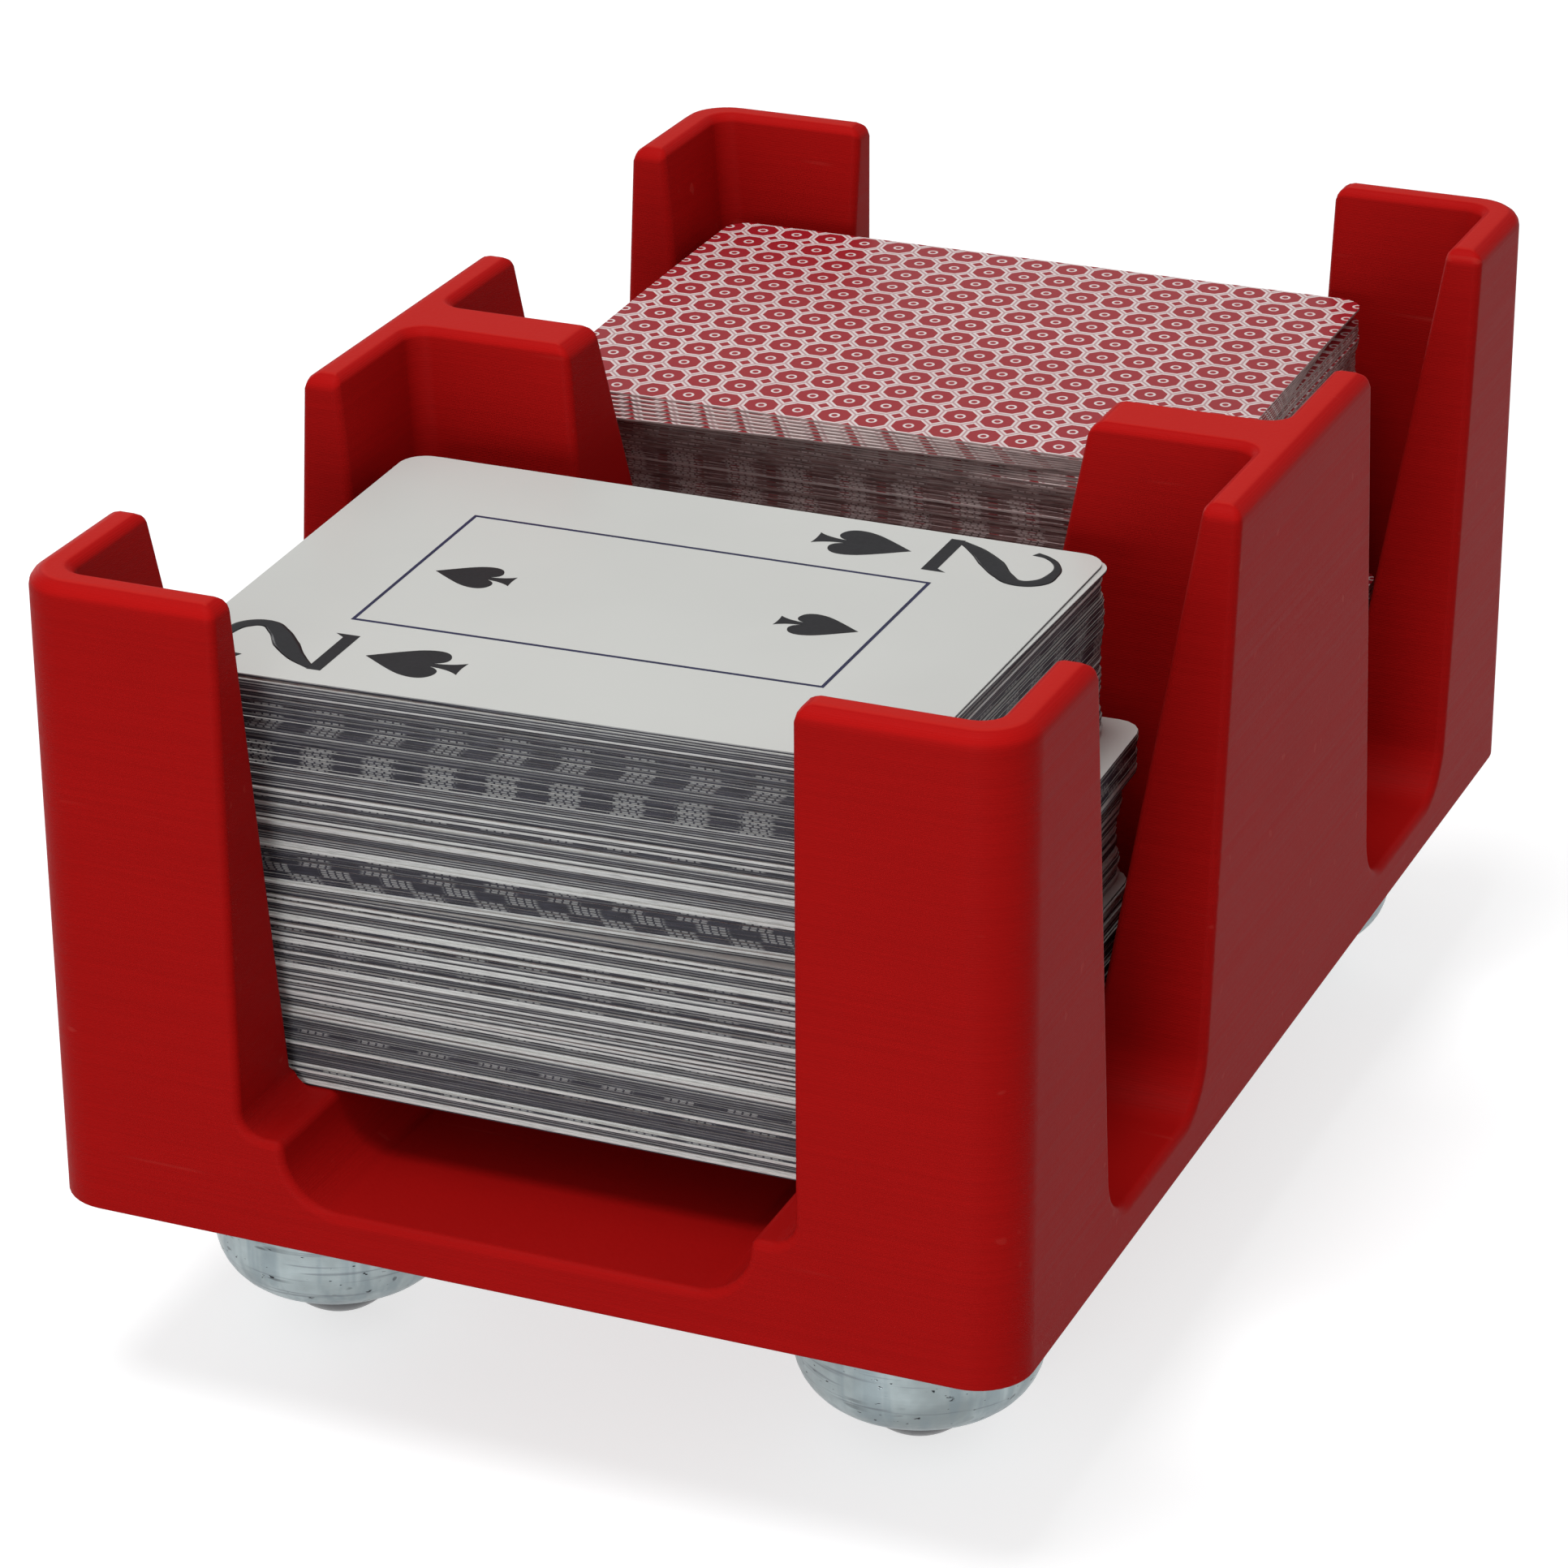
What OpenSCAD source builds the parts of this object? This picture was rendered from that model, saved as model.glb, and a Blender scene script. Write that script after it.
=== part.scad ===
// Playing card tray with two wells, on four ball-caster feet, holding a discard pile and a draw pile.
// Millimetres. X runs across the tray, Y along it (front well at -Y), Z up from the table at 0.

/* [Cards] */
// Length of a playing card
card_l = 88.9; // [80:0.1:100]
// Width of a playing card
card_w = 63.5; // [55:0.1:72]
// Corner radius of a playing card
card_r = 3.2; // [1:0.1:5]
// Thickness of one playing card
card_t = 0.3; // [0.25:0.05:0.6]
// Height of the discard pile under its two loose cards
discard_h = 51.4; // [20:0.2:56]
// Height of the draw pile under its top card
draw_h = 50.7; // [20:0.2:56]
// Depth of the fanned cards at the top of the draw pile
fan_h = 1.8; // [0.6:0.1:4]

/* [Tray] */
// Height of the tray's walls above its underside
tray_h = 76.4; // [72:0.1:100]
// Radius of the tray's four outer corners
corner_r = 6.5; // [4:0.1:11]
// Rounding of the top edges
edge_r = 2; // [1:0.1:2.2]
// Thickness of the outer walls at their top
wall_top_t = 4.6; // [4.5:0.1:8]
// Thickness of the side walls at the ledges
side_base_t = 13.6; // [12:0.1:18]
// Thickness of the end walls at the ledges
end_base_t = 13.4; // [12:0.1:18]
// Thickness of the divider at its top
divider_top_t = 8.9; // [6:0.1:12]
// Thickness of the divider at the ledges
divider_base_t = 29.2; // [22:0.1:36]
// Room beside the cards at each end of a well's floor
room_l = 0.55; // [0.5:0.05:1.5]
// Room beside the cards at each side of a well's floor
room_w = 0.95; // [0.9:0.05:2]
// Radius of the upright corners inside the wells
well_r = 2.5; // [1:0.1:3]
// Height of the ledges that the cards rest on, above the underside
ledge_h = 13.1; // [10.5:0.1:15]
// Thickness of the floor under the troughs
floor_t = 5.5; // [4.5:0.1:6]
// Width of the long trough in the wells
trough_w = 56.4; // [48:0.2:60]
// Radius along the bottom edges of the troughs
trough_r = 6.5; // [3:0.1:7]

/* [Finger gaps] */
// Width of the gaps in the front and the back wall
end_gap_w = 66.8; // [60:0.2:72]
// Radius at the foot of the end gaps
end_gap_r = 2.8; // [1:0.1:4]
// Rounding of the gap's upper corners
gap_lip_r = 2; // [1:0.1:3]
// Width of the side gaps at the top
side_gap_top_w = 45.6; // [40:0.2:52]
// Width of the side gaps at the trough's floor
side_gap_base_w = 30.8; // [26:0.2:36]
// Width of the divider's gap at the top
middle_gap_top_w = 66.6; // [60:0.2:72]
// Width of the divider's gap at the trough's floor
middle_gap_base_w = 46; // [40:0.2:54]

/* [Feet] */
// Height of the tray's underside above the table
foot_h = 23.8; // [23.5:0.1:32]
// Distance from a foot's centre to the side of the tray
foot_side = 21.8; // [20:0.2:30]
// Distance from a foot's centre to the end of the tray
foot_end = 28.4; // [28:0.2:40]
// Outer diameter of a foot's housing
housing_d = 28.8; // [28:0.1:32]
// Thickness of the housing's sheet
housing_t = 1.2; // [0.8:0.1:1.4]
// Radius of the housing's lower shoulder
shoulder_r = 7; // [5:0.1:7.2]
// Diameter of the main ball
ball_d = 15.88; // [14:0.01:16]
// How far the main ball stands out of the housing
ball_out = 5; // [2.5:0.1:5.1]
// Gap between the main ball and the housing's lip
lip_gap = 0.2; // [0.15:0.05:0.5]
// Diameter of the small bearing balls
bearing_d = 3; // [2:0.1:3.1]
// Thickness of the mounting flange
flange_t = 1.5; // [1:0.1:2]
// Distance between the flange's two screw holes
flange_pitch = 38.5; // [37:0.1:42]
// Radius of the flange's round ears
ear_r = 4.75; // [4.2:0.05:6]
// Thread diameter of the foot screws
screw_d = 3; // [2.5:0.1:3.2]
// Length of the foot screws under their heads
screw_l = 5; // [4:0.1:5.2]

/* [Hidden] */
$fn = 64;

// Overrun of every cut past the face that it opens
overrun = 1;
// Thickness of the thin plates at the ends of a drafted shape
sliver = 0.01;
// Facets of the round corners of the drafted shapes
hull_facets = 32;
// Steps in a quarter turn of a drawn arc
arc_steps = 8;

// Sizes of the tray that follow from the cards
well_l = card_l + 2 * room_l;
well_w = card_w + 2 * room_w;
tray_w = well_l + 2 * side_base_t;
tray_l = 2 * (well_w + end_base_t) + divider_base_t;
well_y = (well_w + divider_base_t) / 2;
ledge_z = foot_h + ledge_h;
floor_z = foot_h + floor_t;
top_z = foot_h + tray_h;
well_top_l = tray_w - 2 * wall_top_t;
well_top_w = tray_l / 2 - wall_top_t - divider_top_t / 2;
well_top_y = (tray_l / 2 - wall_top_t + divider_top_t / 2) / 2;

// Sizes of a foot
ball_r = ball_d / 2;
housing_r = housing_d / 2;
housing_top_z = foot_h - flange_t;
bearing_play = 0.05;
race_r = housing_r - housing_t - bearing_play;
race_cup_r = ball_r + bearing_d + 2 * bearing_play;
bearing_ring_r = ball_r + bearing_play + bearing_d / 2;
bearing_pitch_share = 1.2;
race_bottom_z = ball_out + shoulder_r;
first_lift = asin((race_bottom_z + bearing_play + bearing_d / 2 - ball_r) / bearing_ring_r);
last_lift = 75;
bearing_lifts = [first_lift, (first_lift + last_lift) / 2, last_lift];
retainer_t = 1.9;
retainer_gap = 0.35;
retainer_lap = 0.3;
spigot_h = 1.2;
flange_disc_r = housing_r + 1.35;
screw_r = screw_d / 2;
screw_head_r = screw_d * 0.93;
screw_head_h = screw_d * 0.6;
screw_play = 0.05;
screw_tip_gap = 0.3;
flange_hole_r = screw_r + 0.2;
recess_w = screw_head_h / 3;
recess_l = screw_head_r * 1.2;
recess_h = screw_head_h / 2;

// Packets of the piles, as shares of the pile's height, with their turn and shift on the pile
discard_shares = [0, 0.24, 0.5, 0.6, 1];
discard_turns = [0.2, 0.8, 2, 0.1];
discard_shift_shares = [[-0.002, -0.002], [-0.012, -0.008], [0.012, 0.004], [-0.0435, -0.018]];
second_card_turn = -0.8;
second_card_shift_share = [0.004, 0.003];
draw_shares = [0, 0.3, 0.62, 1];
draw_turns = [-0.2, 0.2, 0.3];
draw_shift_shares = [[-0.002, 0.002], [-0.018, 0.012], [-0.043, 0.032]];
fan_turns = [4, 2.8, 1.6];
fan_shift_shares = [[0, -0.026], [0, -0.018], [0, -0.01]];

// Outline helpers
function arc(centre, r, from, to) = [
    for (i = [0 : arc_steps])
        let (a = from + (to - from) * i / arc_steps)
        [centre[0] + r * cos(a), centre[1] + r * sin(a)]
];

// Finger gap outline: straight or leaning sides, round feet, and upper corners that open in a small arc
module gap_outline(top_w, base_w, h, foot_r, lip_r) {
    lean = atan((top_w - base_w) / 2 / h);
    foot_x = base_w / 2 - foot_r * tan(45 - lean / 2);
    right = concat(
        arc([foot_x, foot_r], foot_r, -90, -lean),
        arc([top_w / 2 + lip_r, h - lip_r], lip_r, 180 - lean, 90),
        [[top_w / 2 + lip_r, h + overrun]]
    );
    left = [for (i = [len(right) - 1 : -1 : 0]) [-right[i][0], right[i][1]]];
    polygon(concat(right, left));
}

module rounded_rect(l, w, r) {
    square([l - 2 * r, w], center = true);
    square([l, w - 2 * r], center = true);
    for (sx = [-1, 1], sy = [-1, 1]) {
        translate([sx * (l / 2 - r), sy * (w / 2 - r)]) circle(r);
    }
}

module plate(l, w, r, z, h) {
    translate([0, 0, z]) linear_extrude(height = h) rounded_rect(l, w, r, $fn = hull_facets);
}

// Tray body
module tray_block() {
    hull() {
        for (sx = [-1, 1], sy = [-1, 1]) {
            translate([sx * (tray_w / 2 - corner_r), sy * (tray_l / 2 - corner_r), foot_h]) {
                rotate_extrude($fn = hull_facets) polygon(concat(
                    [[0, 0], [corner_r, 0]],
                    arc([corner_r - edge_r, tray_h - edge_r], edge_r, 0, 90),
                    [[0, tray_h]]
                ));
            }
        }
    }
}

// One well with drafted walls, and the small slope round its mouth
module well_cut() {
    mouth = edge_r / 2;
    shift = well_top_y - well_y;
    hull() {
        plate(well_l, well_w, well_r, ledge_z, sliver);
        translate([0, -shift, 0]) plate(well_top_l, well_top_w, well_r, top_z, sliver);
    }
    translate([0, -shift, 0]) hull() {
        plate(well_top_l - mouth, well_top_w - mouth, well_r, top_z - 2 * mouth, sliver);
        plate(well_top_l + mouth, well_top_w + mouth, well_r, top_z, overrun);
    }
}

module end_gap_cut() {
    cut_l = end_base_t + 2 * overrun;
    translate([0, cut_l / 2, ledge_z]) rotate([90, 0, 0]) linear_extrude(height = cut_l)
        gap_outline(end_gap_w, end_gap_w, tray_h - ledge_h, end_gap_r, gap_lip_r);
}

module trough_cut(l) {
    translate([0, l / 2, floor_z]) rotate([90, 0, 0]) linear_extrude(height = l)
        gap_outline(trough_w, trough_w, ledge_h - floor_t, trough_r, sliver);
}

module middle_gap_cut() {
    cut_l = divider_base_t + 2 * overrun;
    translate([0, cut_l / 2, floor_z]) rotate([90, 0, 0]) linear_extrude(height = cut_l)
        gap_outline(middle_gap_top_w, middle_gap_base_w, tray_h - floor_t, trough_r, gap_lip_r);
}

module side_gap_cut() {
    cut_l = tray_w + 2 * overrun;
    translate([-cut_l / 2, 0, floor_z]) rotate([90, 0, 90]) linear_extrude(height = cut_l)
        gap_outline(side_gap_top_w, side_gap_base_w, tray_h - floor_t, trough_r, gap_lip_r);
}

module pilot_holes() {
    depth = screw_l - flange_t + screw_tip_gap;
    for (sx = [-1, 1], sy = [-1, 1]) {
        at_foot(sx, sy) for (side = [-1, 1]) {
            translate([0, side * flange_pitch / 2, foot_h - overrun])
                cylinder(r = screw_r + screw_play, h = depth + overrun);
        }
    }
}

module tray_body() color("firebrick") {
    well_trough_l = well_w + end_base_t + overrun;
    difference() {
        tray_block();
        for (end = [0, 1]) {
            mirror([0, end, 0]) {
                translate([0, -well_y, 0]) well_cut();
                translate([0, -well_y, 0]) side_gap_cut();
                translate([0, -(tray_l - end_base_t) / 2, 0]) end_gap_cut();
                translate([0, -divider_base_t / 2 - well_trough_l / 2, 0]) trough_cut(well_trough_l);
            }
        }
        middle_gap_cut();
        pilot_holes();
    }
}

// Ball-caster feet
module at_foot(sx, sy) {
    translate([sx * (tray_w / 2 - foot_side), sy * (tray_l / 2 - foot_end), 0]) children();
}

module flange(sx, sy) color("lightsteelblue") at_foot(sx, sy) {
    difference() {
        union() {
            translate([0, 0, housing_top_z]) linear_extrude(height = flange_t) {
                circle(flange_disc_r);
                square([2 * ear_r, flange_pitch], center = true);
                for (side = [-1, 1]) {
                    translate([0, side * flange_pitch / 2]) circle(ear_r);
                }
            }
            translate([0, 0, housing_top_z - spigot_h]) cylinder(r = race_r, h = spigot_h);
        }
        for (side = [-1, 1]) {
            translate([0, side * flange_pitch / 2, housing_top_z - overrun])
                cylinder(r = flange_hole_r, h = flange_t + 2 * overrun);
        }
    }
}

module housing(sx, sy) color("lightsteelblue") at_foot(sx, sy) {
    centre = [housing_r - shoulder_r, ball_out + shoulder_r];
    inner_r = shoulder_r - housing_t;
    difference() {
        rotate_extrude() polygon(concat(
            [[0, ball_out]],
            arc(centre, shoulder_r, -90, 0),
            [[housing_r, housing_top_z], [housing_r - housing_t, housing_top_z]],
            arc(centre, inner_r, 0, -90),
            [[0, ball_out + housing_t]]
        ));
        translate([0, 0, ball_r]) sphere(r = ball_r + lip_gap);
    }
}

module race(sx, sy) color("dimgray") at_foot(sx, sy) {
    difference() {
        translate([0, 0, race_bottom_z])
            cylinder(r = race_r, h = housing_top_z - spigot_h - race_bottom_z);
        translate([0, 0, ball_r]) sphere(r = race_cup_r);
    }
}

module bearing_balls(sx, sy) color("silver") at_foot(sx, sy) {
    for (lift = bearing_lifts) {
        ring_r = bearing_ring_r * cos(lift);
        count = floor(2 * PI * ring_r / (bearing_d * bearing_pitch_share));
        for (i = [0 : count - 1]) {
            rotate([0, 0, 360 * i / count])
                translate([ring_r, 0, ball_r + bearing_ring_r * sin(lift)]) sphere(d = bearing_d);
        }
    }
}

module retainer_ring(sx, sy) color("ivory") at_foot(sx, sy) {
    inner = ball_r + retainer_gap;
    outer = race_cup_r + retainer_lap;
    low = race_bottom_z - retainer_t;
    rotate_extrude() polygon([
        [inner, low],
        [outer - retainer_t / 2, low],
        [outer, low + retainer_t / 2],
        [outer, race_bottom_z],
        [inner, race_bottom_z]
    ]);
}

module ball(sx, sy) color("gainsboro") at_foot(sx, sy) {
    translate([0, 0, ball_r]) sphere(r = ball_r);
}

module foot_screws() color("silver") {
    for (sx = [-1, 1], sy = [-1, 1]) {
        at_foot(sx, sy) for (side = [-1, 1]) {
            translate([0, side * flange_pitch / 2, housing_top_z]) difference() {
                union() {
                    cylinder(r = screw_r, h = screw_l);
                    translate([0, 0, -screw_head_h]) cylinder(r = screw_head_r, h = screw_head_h);
                }
                for (turn = [0, 90]) {
                    rotate([0, 0, turn]) translate([-recess_l / 2, -recess_w / 2, -screw_head_h - overrun])
                        cube([recess_l, recess_w, recess_h + overrun]);
                }
            }
        }
    }
}

// Cards and packets of cards, lying on the ledges of one well (side -1 is the front well)
module cards(side, turn, shift_share, z, h) {
    translate([shift_share[0] * card_l, side * well_y + shift_share[1] * card_w, z])
        rotate([0, 0, turn]) linear_extrude(height = h) rounded_rect(card_l, card_w, card_r);
}

module discard_packet(i) color("lightgray") {
    cards(-1, discard_turns[i], discard_shift_shares[i], ledge_z + discard_shares[i] * discard_h,
        (discard_shares[i + 1] - discard_shares[i]) * discard_h);
}

module discard_second_card() color("white") {
    cards(-1, discard_turns[3] + second_card_turn, discard_shift_shares[3] + second_card_shift_share,
        ledge_z + discard_h, card_t);
}

module discard_top_card() color("white") {
    cards(-1, discard_turns[3], discard_shift_shares[3], ledge_z + discard_h + card_t, card_t);
}

module draw_packet(i) color("lightgray") {
    h = draw_h - fan_h;
    cards(1, draw_turns[i], draw_shift_shares[i], ledge_z + draw_shares[i] * h,
        (draw_shares[i + 1] - draw_shares[i]) * h);
}

// A few cards near the top of the draw pile, each turned a little further than the one above
module draw_fanned_cards() color("indianred") {
    step_h = fan_h / len(fan_turns);
    for (i = [0 : len(fan_turns) - 1]) {
        cards(1, fan_turns[i], draw_shift_shares[2] + fan_shift_shares[i],
            ledge_z + draw_h - fan_h + i * step_h, step_h);
    }
}

module draw_top_card() color("indianred") {
    cards(1, draw_turns[2], draw_shift_shares[2], ledge_z + draw_h, card_t);
}

tray_body();
foot_screws();
flange(-1, -1);  // flange_front_left
housing(-1, -1);  // housing_front_left
race(-1, -1);  // race_front_left
bearing_balls(-1, -1);  // bearing_balls_front_left
retainer_ring(-1, -1);  // retainer_ring_front_left
ball(-1, -1);  // ball_front_left
flange(1, -1);  // flange_front_right
housing(1, -1);  // housing_front_right
race(1, -1);  // race_front_right
bearing_balls(1, -1);  // bearing_balls_front_right
retainer_ring(1, -1);  // retainer_ring_front_right
ball(1, -1);  // ball_front_right
flange(-1, 1);  // flange_back_left
housing(-1, 1);  // housing_back_left
race(-1, 1);  // race_back_left
bearing_balls(-1, 1);  // bearing_balls_back_left
retainer_ring(-1, 1);  // retainer_ring_back_left
ball(-1, 1);  // ball_back_left
flange(1, 1);  // flange_back_right
housing(1, 1);  // housing_back_right
race(1, 1);  // race_back_right
bearing_balls(1, 1);  // bearing_balls_back_right
retainer_ring(1, 1);  // retainer_ring_back_right
ball(1, 1);  // ball_back_right
discard_packet(0);  // discard_bottom_packet
discard_packet(1);  // discard_lower_packet
discard_packet(2);  // discard_skewed_packet
discard_packet(3);  // discard_upper_packet
discard_second_card();
discard_top_card();
draw_packet(0);  // draw_bottom_packet
draw_packet(1);  // draw_middle_packet
draw_packet(2);  // draw_upper_packet
draw_fanned_cards();
draw_top_card();
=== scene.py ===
import math
import random
from contextlib import contextmanager

import bmesh
import bpy
from bpy.props import FloatProperty, FloatVectorProperty, IntProperty, PointerProperty
from mathutils import Matrix, Vector


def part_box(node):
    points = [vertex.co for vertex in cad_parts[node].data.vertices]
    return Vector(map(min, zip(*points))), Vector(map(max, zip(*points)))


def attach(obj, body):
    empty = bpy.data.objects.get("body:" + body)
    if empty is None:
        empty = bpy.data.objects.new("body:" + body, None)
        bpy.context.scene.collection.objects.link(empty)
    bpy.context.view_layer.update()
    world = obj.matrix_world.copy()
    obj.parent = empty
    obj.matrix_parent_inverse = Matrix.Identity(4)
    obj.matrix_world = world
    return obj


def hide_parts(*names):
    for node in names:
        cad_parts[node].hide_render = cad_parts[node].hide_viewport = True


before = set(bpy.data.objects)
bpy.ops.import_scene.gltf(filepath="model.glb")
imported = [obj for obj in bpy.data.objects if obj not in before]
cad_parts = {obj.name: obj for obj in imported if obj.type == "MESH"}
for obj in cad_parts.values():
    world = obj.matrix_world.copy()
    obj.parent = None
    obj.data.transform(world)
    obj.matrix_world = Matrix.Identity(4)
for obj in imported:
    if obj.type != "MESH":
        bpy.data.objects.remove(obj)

bl_info = {
    "name": "Playing Card Tray",
    "version": (1, 0, 0),
    "blender": (4, 5, 0),
    "location": "3D View > Sidebar > Card Tray",
    "description": "A printed two-well card tray on four ball feet, with its two piles of cards",
    "category": "Object",
}

MM = 0.001
TINY = 0.00001
CORNERS = ("front_left", "front_right", "back_left", "back_right")
# An edge or a face's normal runs along an axis when its share in that direction is more than this
ALONG = 0.9


def srgb(red, green, blue):
    """A colour written as 0 to 255, as the linear value that Blender's sockets take."""
    linear = []
    for value in (red, green, blue):
        share = value / 255
        linear.append(share / 12.92 if share <= 0.04045 else ((share + 0.055) / 1.055) ** 2.4)
    return tuple(linear)


def length(name, description, size):
    """A length whose default is given in millimetres."""
    return FloatProperty(name=name, description=description, default=size * MM, min=0.0, max=1.0,
                         unit="LENGTH", precision=5)


def colour(name, description, *channels):
    """A colour whose default is given as red, green and blue from 0 to 255."""
    return FloatVectorProperty(name=name, description=description, default=srgb(*channels), size=3,
                               subtype="COLOR", min=0.0, max=1.0)


class TraySizes(bpy.types.PropertyGroup):
    corner: length("Outer corners", "Radius of the four upright outer corners", 6.5)
    top_round: length("Top rounding", "Rounding of the walls' top edges", 2)
    wall_top: length("Wall, top", "Thickness of the outer walls at the top", 4.6)
    side_base: length("Side wall, base", "Thickness of the side walls at the ledges", 13.6)
    end_base: length("End wall, base", "Thickness of the end walls at the ledges", 13.4)
    divider_top: length("Divider, top", "Thickness of the divider at the top", 8.9)
    divider_base: length("Divider, base", "Thickness of the divider at the ledges", 29.2)
    well_corner: length("Well corners", "Radius of the corners inside the wells", 2.5)
    floor: length("Floor", "Thickness of the floor under the trough", 5.5)
    trough: length("Trough", "Width of the long trough", 56.4)
    trough_round: length("Trough rounding", "Radius along the foot of the trough", 6.5)
    end_gap: length("End gap", "Width of the gaps in the end walls", 66.8)
    end_gap_round: length("End gap rounding", "Radius at the foot of the end gaps", 2.8)
    side_gap_top: length("Side gap, top", "Width of the side gaps at the top", 45.6)
    side_gap_base: length("Side gap, base", "Width of the side gaps at the floor", 30.8)
    middle_gap_top: length("Divider gap, top", "Width of the divider's gap at the top", 66.6)
    middle_gap_base: length("Divider gap, base", "Width of the divider's gap at the floor", 46)
    pilot: length("Pilot holes", "Diameter of the holes for the foot screws", 3.1)
    pilot_pitch: length("Screw pitch", "Distance between the two screws of a foot", 38.5)
    pilot_depth: length("Pilot depth", "Depth of the holes for the foot screws", 3.8)


class FootSizes(bpy.types.PropertyGroup):
    sheet: length("Sheet", "Thickness of the housing's sheet", 1.2)
    shoulder: length("Shoulder", "Radius of the housing's lower shoulder", 7)
    lip_gap: length("Lip gap", "Gap between the ball and the housing's lip", 0.2)
    lip_round: length("Lip rounding", "Rounding of the housing's lip", 0.35)
    steps: IntProperty(name="Steps", description="Steps of the lathed housing", default=96, min=24, max=192)


class CardSizes(bpy.types.PropertyGroup):
    long: length("Length", "Length of a playing card", 88.9)
    wide: length("Width", "Width of a playing card", 63.5)
    corner: length("Corners", "Corner radius of a playing card", 3.2)
    thick: length("Thickness", "Thickness of a playing card", 0.3)
    scatter: length("Scatter", "How far a card lies beside its neighbours", 0.16)
    droop: length("Droop", "How far the discard pile's front left corner hangs", 2)
    tilt: length("Tilt", "How far the draw pile's front edge hangs", 1.4)
    ink: length("Ink", "Thickness of the printed shapes on the top card", 0.03)


class Finishes(bpy.types.PropertyGroup):
    red: colour("Red print", "Colour of the printed plastic", 164, 16, 15)
    zinc: colour("Zinc", "Colour of the plated housings", 170, 182, 184)
    steel: colour("Steel", "Colour of the balls and races", 150, 152, 156)
    nylon: colour("Nylon", "Colour of the retainer rings", 226, 222, 208)
    card: colour("Card face", "Colour of the cards' faces", 212, 213, 209)
    ink: colour("Ink", "Colour of the pips and numbers", 20, 20, 24)
    line: colour("Frame line", "Colour of the thin printed frame", 30, 32, 66)
    back: colour("Back, dark", "Red of the card backs", 160, 18, 32)
    back_pale: colour("Back, pale", "Pale lines of the card backs", 234, 220, 218)
    edge: colour("Discard edges", "Dark of the discard pile's card edges", 44, 44, 52)
    edge_worn: colour("Draw edges", "Grey brown of the draw pile's card edges", 140, 120, 117)


# Selecting, adding and cutting
def only(obj):
    """Makes obj the one selected and active object."""
    bpy.ops.object.select_all(action="DESELECT")
    obj.select_set(True)
    bpy.context.view_layer.objects.active = obj


def add_shape(name, operator, **settings):
    """Adds one of Blender's own shapes as the one selected object."""
    bpy.ops.object.select_all(action="DESELECT")
    operator(**settings)
    made = bpy.context.active_object
    made.name = made.data.name = name
    return made


def settle():
    """Moves the selected object's place, turn and scale into its mesh."""
    bpy.ops.object.transform_apply(location=True, rotation=True, scale=True)


def block(name, low, high):
    """A cuboid between two corners, with its place in its mesh."""
    low, high = Vector(low), Vector(high)
    made = add_shape(name, bpy.ops.mesh.primitive_cube_add, size=1, location=(low + high) / 2)
    made.scale = high - low
    settle()
    return made


@contextmanager
def editing(obj, kind=None, wanted=None):
    """Edit mode with the whole mesh selected, or with only its wanted edges or faces."""
    only(obj)
    bpy.ops.object.mode_set(mode="EDIT")
    if kind is None:
        bpy.ops.mesh.select_all(action="SELECT")
    else:
        bpy.ops.mesh.select_mode(type=kind)
        bpy.ops.mesh.select_all(action="DESELECT")
        shape = bmesh.from_edit_mesh(obj.data)
        chosen = [part for part in (shape.edges if kind == "EDGE" else shape.faces) if wanted(part)]
        if not chosen:
            raise RuntimeError(f"{obj.name} has nothing to select there")
        for part in chosen:
            part.select_set(True)
        shape.select_flush_mode()
        bmesh.update_edit_mesh(obj.data)
    yield
    bpy.ops.object.mode_set(mode="OBJECT")


def round_edges(obj, radius, segments, wanted):
    """Bevels the wanted edges to a round."""
    with editing(obj, "EDGE", wanted):
        bpy.ops.mesh.bevel(offset=radius, offset_type="OFFSET", segments=segments, profile=0.5,
                           affect="EDGES", clamp_overlap=False)


def along(axis):
    """A test for edges that run along one axis."""
    def test(edge):
        way = (edge.verts[1].co - edge.verts[0].co).normalized()
        return abs(way[axis]) > ALONG
    return test


def modify(obj, kind, **settings):
    """Adds a modifier with its settings, and applies it."""
    modifier = obj.modifiers.new(kind, kind)
    for name, value in settings.items():
        setattr(modifier, name, value)
    only(obj)
    bpy.ops.object.modifier_apply(modifier=modifier.name)


def cut(obj, cutter):
    """Takes the cutter's shape out of obj and deletes the cutter."""
    modify(obj, "BOOLEAN", operation="DIFFERENCE", solver="EXACT", object=cutter)
    bpy.data.meshes.remove(cutter.data)


def outward(obj):
    """Merges doubles and turns every face outwards."""
    with editing(obj):
        bpy.ops.mesh.remove_doubles(threshold=TINY / 10)
        bpy.ops.mesh.normals_make_consistent(inside=False)


def smooth(obj, degrees=40):
    """Shades smoothly all edges that turn less than so many degrees."""
    only(obj)
    bpy.ops.object.shade_smooth_by_angle(angle=math.radians(degrees))


def copy_of(obj, name):
    """A copy of an object with a mesh of its own."""
    twin = obj.copy()
    twin.data = obj.data.copy()
    twin.name = twin.data.name = name
    bpy.context.scene.collection.objects.link(twin)
    return twin


def joined(name, parts):
    """Joins the parts into one object of that name."""
    bpy.ops.object.select_all(action="DESELECT")
    for part in parts:
        part.select_set(True)
    bpy.context.view_layer.objects.active = parts[0]
    bpy.ops.object.join()
    parts[0].name = parts[0].data.name = name
    return parts[0]


def turned_to(place, turn, scale):
    """The matrix that scales a shape, turns it by so many degrees and moves it to its place."""
    turned = Matrix.Rotation(math.radians(turn), 4, "Z")
    return Matrix.Translation(place) @ turned @ Matrix.Diagonal((*scale, 1))


def corners_of(node):
    """The lowest and the highest corner of a CAD node."""
    return tuple(Vector(corner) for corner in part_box(node))


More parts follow.
